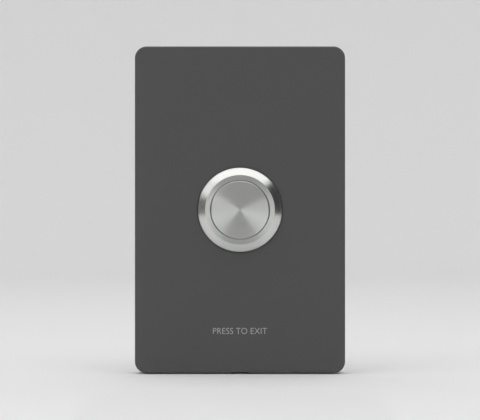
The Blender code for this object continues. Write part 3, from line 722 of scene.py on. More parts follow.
@dataclass
class CoverPlate:
    """The moulded cover: a shallow shell with snap hooks, a hole for the head and a slot below.

    Attributes:
        corner: Radius of the corners, seen from the front.
        edge_round: Radius of the front edge.
        face_wall: Thickness of the face.
        rim_wall: Thickness of the rim.
        hole_round: Radius of the edge of the hole.
        head_clearance: Gap around the head.
        notch_width: Width of the release slot.
        notch_front: Its depth at the face, from where it slopes in through the rim.
        notch_slope: How far behind the face that slope ends.
        notch_past: How far it cuts past the rim.
        notch_wall: What stays of the rim behind it.
        hook_across: Distance from the left hooks to the right ones.
        hook_up: Distance from the lower hooks to the upper ones.
        hook_width: Width of a hook.
        hook_thickness: Thickness of its stem.
        hook_tip: Thickness of its tip.
        hook_barb: How far its barb stands out.
        hook_rise: Height of the barb before it slopes.
        hook_reach: How far it reaches behind the grid.
    """

    corner: float = 4.1 * MM
    edge_round: float = 0.7 * MM
    face_wall: float = 2.2 * MM
    rim_wall: float = 1.8 * MM
    hole_round: float = 0.2 * MM
    head_clearance: float = 0.2 * MM
    notch_width: float = 5.6 * MM
    notch_front: float = 0.35 * MM
    notch_slope: float = 2.75 * MM
    notch_past: float = 0.25 * MM
    notch_wall: float = 2.2 * MM
    hook_across: float = 46.0 * MM
    hook_up: float = 56.0 * MM
    hook_width: float = 7.0 * MM
    hook_thickness: float = 1.3 * MM
    hook_tip: float = 0.8 * MM
    hook_barb: float = 0.7 * MM
    hook_rise: float = 0.5 * MM
    hook_reach: float = 1.5 * MM

    def build(self) -> Object:
        """Builds the cover.

        Returns:
            The piece.
        """
        low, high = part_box("cover_plate")
        width, height = high.x - low.x, high.z - low.z
        front, back = low.y, high.y
        floor = front + self.face_wall
        rim = self.rim_wall
        shell = panel(width, height, self.corner, back, front, 16)
        ease_edges(shell, self.edge_round, 60, 5, at_y(front))
        inside = panel(width - 2 * rim, height - 2 * rim, self.corner - rim, back + MM, floor, 12)
        steps = [(Join.CUT, inside), (Join.CUT, self.hole(front, floor))]
        steps.append((Join.CUT, self.notch(low, back, front)))
        steps += [(Join.ADD, self.hook(side, level, floor)) for side in SIDES for level in SIDES]
        shape = combined(shell, steps)
        return even_faces(finished("moulded_cover", shape, COVER_ABS, PLATE_BODY, "cover_plate", 35.0))

    def hole(self, front: float, floor: float) -> BMesh:
        """The bar that leaves the hole for the head, with its rounded edge.

        Args:
            front: The y of the cover's face.
            floor: The y of the back of that face.

        Returns:
            The shape.
        """
        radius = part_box("button_housing")[1].x + self.head_clearance
        outer = radius + self.hole_round
        # The middle of a quarter round lies 0.3 of its radius from the lines that it joins.
        middle = 0.3 * self.hole_round
        profile = [
            (0, floor + MM),
            (radius, floor + MM),
            (radius, front + self.hole_round),
            (radius + middle, front + middle),
            (outer, front),
            (outer + MM, front - MM),
            (0, front - MM),
        ]
        return spun(profile, 128)

    def notch(self, low: Vector, back: float, front: float) -> BMesh:
        """The wedge that leaves the release slot, which opens through the lower rim.

        Args:
            low: The cover's lowest corner.
            back: The y of its back.
            front: The y of its face.

        Returns:
            The shape.
        """
        through = low.z + self.rim_wall + self.notch_past
        side = [
            (front - MM, low.z - MM),
            (front - MM, low.z + self.notch_front),
            (front, low.z + self.notch_front),
            (front + self.notch_slope, through),
            (back - self.notch_wall, through),
            (back - self.notch_wall, low.z - MM),
        ]
        return prism([(-self.notch_width / 2, y, z) for y, z in side], (self.notch_width, 0, 0))

    def hook(self, side: int, level: int, floor: float) -> BMesh:
        """One snap hook, whose barb catches behind the grid.

        Args:
            side: -1 for left, 1 for right.
            level: -1 for below, 1 for above.
            floor: The y of the back of the cover's face.

        Returns:
            The shape.
        """
        root, catch = floor - MM, WEB_BACK + SEAT
        tip = catch + self.hook_reach
        outer = self.hook_thickness + self.hook_barb
        outline = [
            (0, root),
            (0, tip),
            (self.hook_tip, tip),
            (outer, catch + self.hook_rise),
            (outer, catch),
            (self.hook_thickness, catch),
            (self.hook_thickness, root),
        ]
        half = self.hook_width / 2
        shape = prism([(side * x, y, -half) for x, y in outline], (0, 0, 2 * half))
        return moved(shape, (side * self.hook_across / 2, 0, level * self.hook_up / 2))


def lettering(words: str, height: float, relief: float, width: float | None = None) -> BMesh:
    """Plain letters that stand on y = 0 and are read from the front, centred on the origin.

    Args:
        words: What they say.
        height: Height of the letters.
        relief: How far they stand out.
        width: Length of the line, or nothing to keep the letters' own proportions.

    Returns:
        The shape.
    """
    curve = bpy.data.curves.new("lettering", "FONT")
    curve.body = words
    curve.offset = -0.012
    curve.resolution_u = 4
    text = bpy.data.objects.new("lettering", curve)
    bpy.context.scene.collection.objects.link(text)
    bpy.context.view_layer.update()
    flat = bpy.data.meshes.new_from_object(text)
    shape = bmesh.new()
    shape.from_mesh(flat)
    bpy.data.meshes.remove(flat)
    bpy.data.objects.remove(text)
    bpy.data.curves.remove(curve)

    xs = [v.co.x for v in shape.verts]
    ys = [v.co.y for v in shape.verts]
    moved(shape, (-(max(xs) + min(xs)) / 2, -(max(ys) + min(ys)) / 2, 0))
    upright = height / (max(ys) - min(ys))
    along = width / (max(xs) - min(xs)) if width else upright
    bmesh.ops.scale(shape, vec=(along, upright, 1), verts=shape.verts)
    return extruded(turned(shape, 90, "X"), (0, -relief, 0))


@dataclass
class Legend:
    """The line of small capitals printed under the button.

    Attributes:
        words: What it says.
        width: Length of the line.
        capitals: Height of the letters.
        below: Distance from the button's axis down to the middle of the line.
        film: Thickness of the ink.
    """

    words: str = "PRESS TO EXIT"
    width: float = 19.0 * MM
    capitals: float = 2.15 * MM
    below: float = 42.6 * MM
    film: float = 0.02 * MM

    def build(self) -> Object:
        """Builds the print.

        Returns:
            The piece.
        """
        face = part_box("cover_plate")[0].y
        shape = lettering(self.words, self.capitals, self.film, self.width)
        return finished("printed_legend", moved(shape, (0, face, -self.below)), LEGEND_INK, PLATE_BODY)


@dataclass
class PushButton:
    """The steel head with its barrel, and the cap that is pressed.

    Attributes:
        rounds: Segments in the turned pieces.
        cap_radius: Radius of the cap.
        clearance: Gap around the cap.
        flat_width: Width of the flat ring around the cap.
        cone_width: Width of the cone.
        cone_height: Height of the cone.
        rim_break: Width of the broken edge outside the cone.
        lip: Thickness of the lip that keeps the cap in.
        lip_round: Rounding of the head's edge at the gap.
        cap_round: Rounding of the cap's edge.
        collar_overlap: How far the cap's collar reaches behind the lip.
        bore_step: Step that stops the switch body.
        barrel_radius: Outer radius of the barrel.
        barrel_chamfer: Chamfer at its end.
        thread_pitch: Pitch of the barrel's thread.
        thread_depth: Depth of the barrel's thread.
        thread_start: Distance from the head to the thread.
        thread_inset: How far the plain ends of the barrel lie below the thread's root.
        gasket_edge: Rounding of the gasket's edges.
        face_wall: Thickness of the cap's face.
        skirt_wall: Thickness of its skirt behind the seal's groove.
        hub_radius: Radius of its hub.
        hub_length: Length of the hub.
        socket_radius: Radius of the hub's socket.
        socket_depth: Depth of that socket.
    """

    rounds: int = 192
    cap_radius: float = 10.25 * MM
    clearance: float = 0.2 * MM
    flat_width: float = 1.75 * MM
    cone_width: float = 2.55 * MM
    cone_height: float = 1.5 * MM
    rim_break: float = 0.1 * MM
    lip: float = 2.4 * MM
    lip_round: float = 0.2 * MM
    cap_round: float = 0.4 * MM
    collar_overlap: float = 0.3 * MM
    bore_step: float = 0.3 * MM
    barrel_radius: float = 12.5 * MM
    barrel_chamfer: float = 0.5 * MM
    thread_pitch: float = 1.0 * MM
    thread_depth: float = 0.5 * MM
    thread_start: float = 1.2 * MM
    thread_inset: float = 0.05 * MM
    gasket_edge: float = 0.15 * MM
    face_wall: float = 1.6 * MM
    skirt_wall: float = 0.8 * MM
    hub_radius: float = 3.5 * MM
    hub_length: float = 3.2 * MM
    socket_radius: float = 2.2 * MM
    socket_depth: float = 2.2 * MM

    def build(self) -> list[Object]:
        """Builds the head, the cap and their seals."""
        return [self.head(), self.cap(), self.gasket(), self.seal()]

    def head(self) -> Object:
        """Turns the head and threads its barrel.

        Returns:
            The piece.
        """
        low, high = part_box("button_housing")
        front, back, rim = low.y, high.y, high.x
        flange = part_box("flange_gasket")[0].y - SEAT
        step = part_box("switch_body")[0].y - SEAT
        bore = self.cap_radius + self.clearance
        chamber = bore + self.collar_overlap + self.clearance
        rear = chamber + self.bore_step
        core = self.barrel_radius - self.thread_depth
        wall = core - self.thread_inset
        cone_fall = self.rim_break * self.cone_height / self.cone_width
        profile = [
            (bore, front + self.lip),
            (bore, front),
            (bore + self.flat_width, front),
            (rim - self.rim_break, front + self.cone_height - cone_fall),
            (rim, front + self.cone_height + self.rim_break / 2),
            (rim, flange),
            (wall, flange),
            (wall, back - self.barrel_chamfer),
            (wall - self.thread_inset, back),
            (rear, back),
            (rear, step),
            (chamber, step),
            (chamber, front + self.lip),
        ]
        shell = spun(softened(profile, {1: self.lip_round}, 5), self.rounds)
        start, end = flange + self.thread_start, back - self.barrel_chamfer
        thread = threaded(core, self.barrel_radius, self.thread_pitch, start, end, 96)
        hollow = bar((rear + wall) / 2, end + MM, start - MM)
        shape = combined(thread, [(Join.CUT, hollow), (Join.ADD, shell)])
        piece = finished("turned_head", shape, TURNED_STEEL, PLATE_BODY, "button_housing", 24.0)
        piece.data.materials.append(FACED_STEEL.material())
        for face in piece.data.polygons:
            face.material_index = int(face.center.y < front + self.lip_round / 4)
        return piece

    def cap(self) -> Object:
        """Turns the cap.

        Returns:
            The piece.
        """
        low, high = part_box("push_cap")
        front, back, collar = low.y, high.y, high.x
        seal_low, seal_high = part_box("cap_seal")
        collar_front = front + self.lip + SEAT
        groove_front, groove_back = seal_low.y - SEAT, seal_high.y + SEAT
        groove = collar - (seal_high.y - seal_low.y) - SEAT
        cup = groove - self.skirt_wall
        floor = front + self.face_wall
        hub_end = floor + self.hub_length
        socket_floor = hub_end - self.socket_depth
        profile = [
            (0, front),
            (self.cap_radius, front),
            (self.cap_radius, collar_front),
            (collar, collar_front),
            (collar, groove_front),
            (groove, groove_front),
            (groove, groove_back),
            (collar, groove_back),
            (collar, back),
            (cup, back),
            (cup, floor),
            (self.hub_radius, floor),
            (self.hub_radius, hub_end),
            (self.socket_radius, hub_end),
            (self.socket_radius, socket_floor),
            (0, socket_floor),
        ]
        shape = spun(softened(profile, {1: self.cap_round}, 5), self.rounds)
        return finished("turned_cap", shape, FACED_STEEL, BUTTON_BODY, "push_cap", 24.0)

    def gasket(self) -> Object:
        """Moulds the flat seal under the head.

        Returns:
            The piece.
        """
        low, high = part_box("flange_gasket")
        inner = self.barrel_radius + SEAT
        shape = spun([(inner, low.y), (high.x, low.y), (high.x, high.y), (inner, high.y)], 128)
        ease_edges(shape, self.gasket_edge, 60)
        return finished("moulded_gasket", shape, SEAL_RUBBER, PLATE_BODY, "flange_gasket")

    def seal(self) -> Object:
        """Moulds the round ring in the cap's groove.

        Returns:
            The piece.
        """
        low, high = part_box("cap_seal")
        section = (high.y - low.y) / 2
        inner = high.x - 2 * section
        square = [(inner, low.y), (high.x, low.y), (high.x, high.y), (inner, high.y)]
        # A little under half a side, so that two roundings never share a point.
        shape = spun(softened(square, dict.fromkeys(range(4), 0.999 * section), 5), 96)
        return finished("moulded_ring", shape, SEAL_RUBBER, BUTTON_BODY, "cap_seal", 40.0)


# The pieces behind


@dataclass
class MountingGrid:
    """The moulded grid that carries the cover and the button.

    Attributes:
        corner: Radius of its corners, seen from the front.
        rim_wall: Thickness of its rim.
        edge: Rounding of its edges.
        web: Thickness of the web.
        tray_corner: Radius of the corners inside the rim.
        rib: Thickness of the two long ribs.
        rib_height: Their height behind the web.
        ribs_apart: Distance between them.
        screws_apart: Distance between the fixing screws.
        slide: How far a screw can move in its slot.
        boss: Radius of the ends of the screws' bosses.
        seat: Radius of the ends of the pockets for the screws' heads.
        slot: Radius of the ends of the screws' slots.
        seat_level: Height of the pockets' floors in front of the wall.
        barrel_hole: Radius of the hole for the barrel.
        pin_mark: Radius of the marks that the mould's ejector pins leave.
        pin_depth: Depth of those marks.
        pins_across: Where they stand, as parts of the grid's width.
        pins_up: Where they stand, as parts of its height.
    """

    corner: float = 1.8 * MM
    rim_wall: float = 1.6 * MM
    edge: float = 0.3 * MM
    web: float = 2.4 * MM
    tray_corner: float = 0.8 * MM
    rib: float = 1.4 * MM
    rib_height: float = 2.6 * MM
    ribs_apart: float = 38.0 * MM
    screws_apart: float = 84.0 * MM
    slide: float = 4.0 * MM
    boss: float = 5.1 * MM
    seat: float = 3.7 * MM
    slot: float = 2.05 * MM
    seat_level: float = 3.4 * MM
    barrel_hole: float = 12.8 * MM
    pin_mark: float = 2.0 * MM
    pin_depth: float = 0.12 * MM
    pins_across: tuple[float, ...] = (-0.36, 0, 0.36)
    pins_up: tuple[float, ...] = (-0.3, 0.3)

    def build(self) -> Object:
        """Builds the grid.

        Returns:
            The piece.
        """
        low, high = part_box("mounting_grid")
        front, back = low.y, high.y
        web_back = front + self.web
        width, height, rim = high.x - low.x, high.z - low.z, self.rim_wall
        grid = panel(width, height, self.corner, back, front, 10)
        ease_edges(grid, self.edge, 60, 3)
        tray = panel(width - 2 * rim, height - 2 * rim, self.tray_corner, back + MM, web_back, 6)
        ease_edges(tray, 2 * self.edge, 60, 4, at_y(web_back))
        steps = [(Join.CUT, tray)]
        steps += [(Join.ADD, self.long_rib(side, web_back, height)) for side in SIDES]
        steps += [(Join.ADD, self.stadium(self.boss, back, web_back - MM, level)) for level in SIDES]
        for level in SIDES:
            steps.append((Join.CUT, self.stadium(self.seat, -self.seat_level, front - MM, level)))
            steps.append((Join.CUT, self.stadium(self.slot, back + MM, front, level)))
        steps.append((Join.CUT, bar(self.barrel_hole, back + MM, front - MM)))
        steps += [(Join.CUT, self.window(side, level)) for side in SIDES for level in SIDES]
        for across in self.pins_across:
            for up in self.pins_up:
                mark = bar(self.pin_mark, back, web_back - self.pin_depth, across * width, up * height)
                steps.append((Join.CUT, mark))
        shape = combined(grid, steps)
        return even_faces(finished("moulded_grid", shape, GRID_PC, PLATE_BODY, "mounting_grid", 35.0))

    def long_rib(self, side: int, web_back: float, height: float) -> BMesh:
        """One of the ribs that stiffen the web from end to end.

        Args:
            side: -1 for left, 1 for right.
            web_back: The y of the back of the web.
            height: Height of the grid.

        Returns:
            The shape.
        """
        middle, half, reach = side * self.ribs_apart / 2, self.rib / 2, (height - self.rim_wall) / 2
        tip = web_back + self.rib_height
        shape = block((middle - half, web_back - MM, -reach), (middle + half, tip, reach))
        ease_edges(shape, self.edge, 60, 3, at_y(tip))
        return shape

    def stadium(self, radius: float, back: float, front: float, level: int) -> BMesh:
        """A slab with round ends at a fixing screw.

        Args:
            radius: Radius of its ends.
            back: The y of its back.
            front: The y of its front.
            level: -1 for the lower screw, 1 for the upper one.

        Returns:
            The shape.
        """
        # The corners stop just short of each other, and what is left between them is merged.
        shape = panel(self.slide + 2 * radius, 2 * radius, 0.9999 * radius, back, front, 24)
        bmesh.ops.remove_doubles(shape, verts=shape.verts, dist=4 * WELD)
        return moved(shape, (0, 0, level * self.screws_apart / 2))

    def window(self, side: int, level: int) -> BMesh:
        """The opening that takes one hook of the cover.

        Args:
            side: -1 for left, 1 for right.
            level: -1 for below, 1 for above.

        Returns:
            The shape.
        """
        cover = CoverPlate()
        inner, outer = -cover.hook_barb, cover.hook_thickness + SEAT
        across, up = (outer - inner) / 2, cover.hook_width / 2 + SEAT
        shape = block((-across, -5 * MM, -up), (across, 5 * MM, up))
        middle = side * (cover.hook_across + inner + outer) / 2
        return moved(shape, (middle, WEB_BACK, level * cover.hook_up / 2))


class Recess(Enum):
    """How a screw is driven."""

    CROSS = "cross"
    SLOT = "slot"


@dataclass(frozen=True)
class ScrewSize:
    """One size of pan head screw.

    Attributes:
        thread: Outer diameter of the thread.
        pitch: Rise of the thread in one turn.
        head_height: Height of the head.
        recess: How it is driven.
        recess_width: Width of the slot, or of the cross's arms.
        recess_length: Length of the cross. A slot runs right across the head.
        from_behind: Whether its head points away from the face.
    """

    thread: float
    pitch: float
    head_height: float
    recess: Recess
    recess_width: float
    recess_length: float = 0.0
    from_behind: bool = False


FIXING_SIZE = ScrewSize(3.5 * MM, 0.6 * MM, 2.2 * MM, Recess.CROSS, 1.0 * MM, 3.8 * MM)
TERMINAL_SIZE = ScrewSize(3.0 * MM, 0.5 * MM, 1.8 * MM, Recess.SLOT, 0.8 * MM, from_behind=True)
BASE_SIZE = ScrewSize(1.8 * MM, 0.5 * MM, 1.3 * MM, Recess.CROSS, 0.6 * MM, 2.0 * MM, from_behind=True)


@dataclass
class PanScrew:
    """A pan head screw with a rolled thread.

    Attributes:
        node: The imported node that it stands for, which gives its place, length and head.
        size: Its size.
        turned: How far it was left turned when it was tight, in degrees.
        thread_depth: Depth of the thread, as a part of its pitch.
        shank: Radius of the plain ends, as a part of the thread's root.
        point: Radius of the tip, as a part of the same.
        crown: Where the head's rounding starts, as a part of its height.
        recess_depth: Depth of the recess, as a part of the head's height.
        taper: Length and width of the cross at its bottom, as parts of those at its top.
    """

    node: str
    size: ScrewSize
    turned: float
    thread_depth: float = 0.6
    shank: float = 0.95
    point: float = 0.6
    crown: float = 0.55
    recess_depth: float = 0.5
    taper: tuple[float, float] = (0.55, 0.75)

    def build(self) -> Object:
        """Builds the screw with its head towards -y and its seat at y = 0, then puts it in place.

        Returns:
            The piece.
        """
        low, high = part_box(self.node)
        pitch, height = self.size.pitch, self.size.head_height
        radius = (high.x - low.x) / 2
        length = high.y - low.y - height
        core = self.size.thread / 2 - self.thread_depth * pitch
        shank = self.shank * core
        neck = [(0, -height), (radius, -height), (radius, 0), (shank, 0), (shank, pitch), (0, pitch)]
        tip = [
            (0, length - 1.5 * pitch),
            (shank, length - 1.5 * pitch),
            (shank, length - 0.5 * pitch),
            (self.point * core, length),
            (0, length),
        ]
        # The thread starts just under the head and ends one turn before the tip.
        rod = threaded(core, self.size.thread / 2, pitch, 0.3 * pitch, length - pitch, 32)
        steps = [(Join.CUT, tool) for tool in self.driver(radius)]
        steps += [(Join.ADD, rod), (Join.ADD, spun(tip, 32))]
        crown = {1: self.crown * height, 2: 0.1 * height}
        shape = turned(combined(spun(softened(neck, crown, 6), 64), steps), self.turned)
        seat = low.y + height
        if self.size.from_behind:
            turned(shape, 180, "Z")
            seat = high.y - height
        moved(shape, ((low.x + high.x) / 2, seat, (low.z + high.z) / 2))
        return finished(f"{self.node}_cut", shape, ZINC_STEEL, PLATE_BODY, self.node, 30.0)

    def driver(self, radius: float) -> list[BMesh]:
        """The blades that leave the recess. A cross is narrower at the bottom than at the top.

        Args:
            radius: Radius of the head.

        Returns:
            The shapes.
        """
        cross = self.size.recess is Recess.CROSS
        top, depth = -self.size.head_height, self.recess_depth * self.size.head_height
        half = self.size.recess_length / 2 if cross else radius + MM / 2
        arm = self.size.recess_width / 2
        blades = []
        for turn in (0, 90) if cross else (0,):
            blade = block((-half, top - depth, -arm), (half, top + depth, arm))
            for vert in blade.verts:
                if cross and vert.co.y > top:
                    vert.co.x *= self.taper[0]
                    vert.co.z *= self.taper[1]
            blades.append(turned(blade, turn))
        return blades


SCREWS = [
    PanScrew("fixing_screw_upper", FIXING_SIZE, 8.0),
    PanScrew("fixing_screw_lower", FIXING_SIZE, -15.0),
    PanScrew("terminal_screw_common", TERMINAL_SIZE, 12.0),
    PanScrew("terminal_screw_open", TERMINAL_SIZE, -7.0),
    PanScrew("terminal_screw_closed", TERMINAL_SIZE, 4.0),
    PanScrew("base_screw_upper", BASE_SIZE, 20.0),
    PanScrew("base_screw_lower", BASE_SIZE, -31.0),
]


@dataclass
class Clamp:
    """The toothed washer and the thin hexagon nut that hold the button in the grid.

    Attributes:
        bore: Radius of the washer's hole.
        washer_root: Radius of the washer between its teeth.
        teeth: Number of teeth.
        sheet: Thickness of the washer's sheet.
        twist: How far a tooth's corners stand out of the sheet.
        burr: Rounding of the washer's stamped edges.
        nut_bore: Radius of the nut's hole, which closes on the barrel's thread.
        nut_flat: Distance from the axis to a flat of the nut.
        chamfer: Slope of the nut's corners, in degrees.
        countersink: Size of the chamfers at its thread.
    """

    bore: float = 12.8 * MM
    washer_root: float = 14.3 * MM
    teeth: int = 16
    sheet: float = 0.5 * MM
    twist: float = 0.15 * MM
    burr: float = 0.06 * MM
    nut_bore: float = 12.55 * MM
    nut_flat: float = 15.0 * MM
    chamfer: float = 30.0
    countersink: float = 0.5 * MM

    def build(self) -> list[Object]:
        """Builds the washer and the nut."""
        return [self.washer(), self.nut()]

    def washer(self) -> Object:
        """Stamps the washer and twists its teeth.

        Returns:
            The piece.
        """
        low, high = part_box("lock_washer")
        middle = (low.y + high.y) / 2
        near, far = middle - self.sheet / 2, middle + self.sheet / 2
        root = self.washer_root
        shape = spun([(self.bore, near), (root, near), (root, far), (self.bore, far)], 8 * self.teeth)
        bmesh.ops.recalc_face_normals(shape, faces=shape.faces)
        # The faces round the rim go to a tooth or to the gap after it, half and half.
        tooth_faces: dict[int, list[BMFace]] = {}
        for face in shape.faces:
            centre = face.calc_center_median()
            if face.normal.x * centre.x + face.normal.z * centre.z > root / 2:
                place = math.atan2(centre.z, centre.x) % math.tau / math.tau * self.teeth
                if place % 1 < 0.5:
                    tooth_faces.setdefault(int(place), []).append(face)
        half_tooth = math.tau / 4 / self.teeth
        for number, faces in tooth_faces.items():
            middle_angle = (number + 0.25) / self.teeth * math.tau
            raised = bmesh.ops.extrude_face_region(shape, geom=faces)["geom"]
            bmesh.ops.delete(shape, geom=faces, context="FACES")
            for vert in (v for v in raised if isinstance(v, BMVert)):
                angle = math.atan2(vert.co.z, vert.co.x)
                aside = math.sin(angle - middle_angle) / math.sin(half_tooth)
                vert.co.x = high.x * math.cos(angle)
                vert.co.z = high.x * math.sin(angle)
                vert.co.y += aside * self.twist
        ease_edges(shape, self.burr, 50)
        return finished("stamped_washer", shape, ZINC_STEEL, PLATE_BODY, "lock_washer", 40.0)

    def nut(self) -> Object:
        """Cuts the nut from hexagon bar, with its corners to the left and right.

        Returns:
            The piece.
        """
        low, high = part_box("lock_nut")
        front, back, flat = low.y, high.y, self.nut_flat
        corner = flat / math.cos(math.pi / 6)
        shape = bmesh.new()
        bmesh.ops.create_circle(shape, cap_ends=True, segments=6, radius=corner)
        turned(turned(shape, 30, "Z"), 90, "X")
        extruded(moved(shape, (0, front, 0)), (0, back - front, 0))
        outer = corner + MM
        slope = (outer - flat) * math.tan(math.radians(self.chamfer))
        ends = [(0, front), (flat, front), (outer, front + slope)]
        cone = spun([*ends, (outer, back - slope), (flat, back), (0, back)], 120)
        bore, sink = self.nut_bore, self.countersink
        ends = [(0, front - MM), (bore + sink + MM, front - MM), (bore, front + sink)]
        hole = spun([*ends, (bore, back - sink), (bore + sink + MM, back + MM), (0, back + MM)], 120)
        shape = combined(shape, [(Join.KEEP, cone), (Join.CUT, hole)])
        return finished("hexagon_nut", shape, ZINC_STEEL, PLATE_BODY, "lock_nut", 20.0)


class Terminal(Enum):
    """The switch's three terminals, in the order of their numbers."""

    COMMON = "common"
    OPEN = "open"
    CLOSED = "closed"


@dataclass
class ChangeoverSwitch:
    """The switch that fills the barrel, with its three terminals behind.

    Attributes:
        body_radius: Radius of the body inside the barrel.
        mould_edge: Rounding of the moulded edges.
        cavity_front: The y of the front of the contacts' cavity.
        cavity_across: Half the cavity's width.
        cavity_up: Half its height.
        pocket_depth: Depth of the spring's pocket.
        pocket_width: Width of that ring-shaped pocket.
        stem_bore: Radius of the plunger's guide.
        flutes: Number of grip flutes round each flange.
        flute_depth: Their depth.
        pitch: Distance between the terminals.
        strip: Thickness of the brass strip.
        leg_at: Distance from the axis to the outer legs' inner faces.
        middle_leg: Distance from the axis to the middle leg's near face.
        half_tab: Half the width of a tab.
        tab_corner: Radius of its corners.
        inset: How far a leg's sides and end lie inside the tab's.
        terminal_bore: Radius of the terminal screws' holes.
        barrier: Thickness of the walls between the terminals.
        base_screws_apart: Distance between the screws that hold the base.
        base_screw_bore: Radius of their holes.
        number_height: Height of the printed numbers.
        contact_at: Distance from the axis to the contact points.
        contact_radius: Their radius.
        contact_dome: Their rounding.
        contact_height: How far the closed one stands out of its strip.
        open_rise: How far the open one's tip lies in front of its strip.
    """

    body_radius: float = 10.95 * MM
    mould_edge: float = 0.2 * MM
    cavity_front: float = 2.6 * MM
    cavity_across: float = 9.0 * MM
    cavity_up: float = 4.2 * MM
    pocket_depth: float = 1.5 * MM
    pocket_width: float = 1.3 * MM
    stem_bore: float = 2.7 * MM
    flutes: int = 48
    flute_depth: float = 0.15 * MM
    pitch: float = 6.4 * MM
    strip: float = 0.6 * MM
    leg_at: float = 8.1 * MM
    middle_leg: float = 1.8 * MM
    half_tab: float = 2.4 * MM
    tab_corner: float = 0.5 * MM
    inset: float = 0.01 * MM
    terminal_bore: float = 1.8 * MM
    barrier: float = 0.8 * MM
    base_screws_apart: float = 15.6 * MM
    base_screw_bore: float = 1.2 * MM
    number_height: float = 1.5 * MM
    contact_at: float = 6.0 * MM
    contact_radius: float = 1.0 * MM
    contact_dome: float = 0.3 * MM
    contact_height: float = 0.5 * MM
    open_rise: float = 0.9 * MM

    def build(self) -> list[Object]:
        """Builds the body, its base, the printed numbers and the terminals."""
        return [self.body(), self.base(), *self.numbers(), *[self.terminal(which) for which in Terminal]]

    def legs(self) -> dict[Terminal, tuple[float, float]]:
        """Where the legs stand.

        Returns:
            The x of the left and of the right face of each terminal's leg.
        """
        return {
            Terminal.COMMON: (-self.leg_at - self.strip, -self.leg_at),
            Terminal.OPEN: (-self.middle_leg - self.strip, -self.middle_leg),
            Terminal.CLOSED: (self.leg_at, self.leg_at + self.strip),
        }

    def middles(self) -> dict[Terminal, float]:
        """Where each terminal's screw stands along x."""
        return dict(zip(Terminal, (-self.pitch, 0.0, self.pitch)))

    def base_back(self) -> float:
        """The y of the base's back, on which the tabs are seated."""
        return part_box("terminal_common")[1].y - self.strip - SEAT

    def base_screw_bores(self, back: float, front: float) -> list[Step]:
        """Cuts the two holes for the screws that hold the base, from one y to another."""
        ups = [level * self.base_screws_apart / 2 for level in SIDES]
        return [(Join.CUT, bar(self.base_screw_bore, back, front, 0, up)) for up in ups]

    def fluted(self, profile: Profile, radius: float) -> BMesh:
        """Turns a moulding and presses fine flutes into its rim.

        Args:
            profile: Its section.
            radius: Radius of the rim.

        Returns:
            The shape.
        """
        shape = spun(profile, 4 * self.flutes)
        for vert in shape.verts:
            across = math.hypot(vert.co.x, vert.co.z)
            if across > radius - 2 * self.flute_depth:
                place = math.atan2(vert.co.z, vert.co.x) / math.tau * self.flutes
                factor = 1 - self.flute_depth / across * (0.5 - 0.5 * math.cos(math.tau * place))
                vert.co.x *= factor
                vert.co.z *= factor
        return shape

    def body(self) -> Object:
        """Moulds the body.

        Returns:
            The piece.
        """
        low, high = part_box("switch_body")
        radius = high.x
        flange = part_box("button_housing")[1].y + SEAT
        front = [(0, low.y), (self.body_radius, low.y), (self.body_radius, flange)]
        profile = [*front, (radius, flange), (radius, high.y), (0, high.y)]
        shape = self.fluted(softened(profile, dict.fromkeys((1, 3, 4), self.mould_edge), 3), radius)

        spring_low, spring_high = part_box("return_spring")
        outer = (spring_high.x - spring_low.x) / 2 + SEAT
        inner = outer - self.pocket_width
        top, floor = low.y - MM, low.y + self.pocket_depth
        pocket = spun([(inner, top), (outer, top), (outer, floor), (inner, floor)], 64)
        across, up = self.cavity_across, self.cavity_up
        cavity = block((-across, self.cavity_front, -up), (across, high.y + MM, up), self.mould_edge)
        guide = bar(self.stem_bore, high.y, low.y - MM)
        steps = [(Join.CUT, pocket), (Join.CUT, guide), (Join.CUT, cavity)]
        steps += self.base_screw_bores(high.y + MM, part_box("base_screw_upper")[0].y - SEAT)
        shape = combined(shape, steps)
        return finished("moulded_switch", shape, SWITCH_NYLON, PLATE_BODY, "switch_body", 35.0)

    def base(self) -> Object:
        """Moulds the base with the walls between its terminals.

        Returns:
            The piece.
        """
        low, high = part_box("terminal_base")
        radius = high.x
        front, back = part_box("switch_body")[1].y + SEAT, self.base_back()
        profile = [(0, front), (radius, front), (radius, back), (0, back)]
        shape = self.fluted(softened(profile, {1: self.mould_edge, 2: 2 * self.mould_edge}, 4), radius)
        across, up = self.cavity_across - SEAT, self.cavity_up - SEAT
        steps = [(Join.ADD, block((-across, low.y, -up), (across, front + MM, up)))]
        half = self.barrier / 2
        for side in SIDES:
            middle = side * self.pitch / 2
            reach = math.sqrt(radius**2 - middle**2) - self.barrier
            wall = block((middle - half, back - MM, -reach), (middle + half, high.y, reach))
            ease_edges(wall, self.mould_edge, 60, 3, at_y(high.y))
            steps.append((Join.ADD, wall))
        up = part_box("terminal_open")[1].z + SEAT
        for left, right in self.legs().values():
            slot = block((left - SEAT, low.y - MM, -up), (right + SEAT, back + MM, up))
            steps.append((Join.CUT, slot))
        screw_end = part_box("terminal_screw_open")[0].y - SEAT
        for across in self.middles().values():
            steps.append((Join.CUT, bar(self.terminal_bore, back + MM, screw_end, across)))
        shape = combined(shape, steps + self.base_screw_bores(back + MM, front - MM))
        return finished("moulded_base", shape, SWITCH_NYLON, PLATE_BODY, "terminal_base", 35.0)

    def numbers(self) -> list[Object]:
        """Prints the terminals' numbers on the base, read from behind.

        Returns:
            The pieces.
        """
        pieces = []
        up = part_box("terminal_open")[1].z + self.number_height
        for number, across in enumerate(self.middles().values(), 1):
            shape = turned(lettering(str(number), self.number_height, Legend().film), 180, "Z")
            moved(shape, (across, self.base_back(), up))
            pieces.append(finished(f"printed_number_{number}", shape, LEGEND_INK, PLATE_BODY))
        return pieces

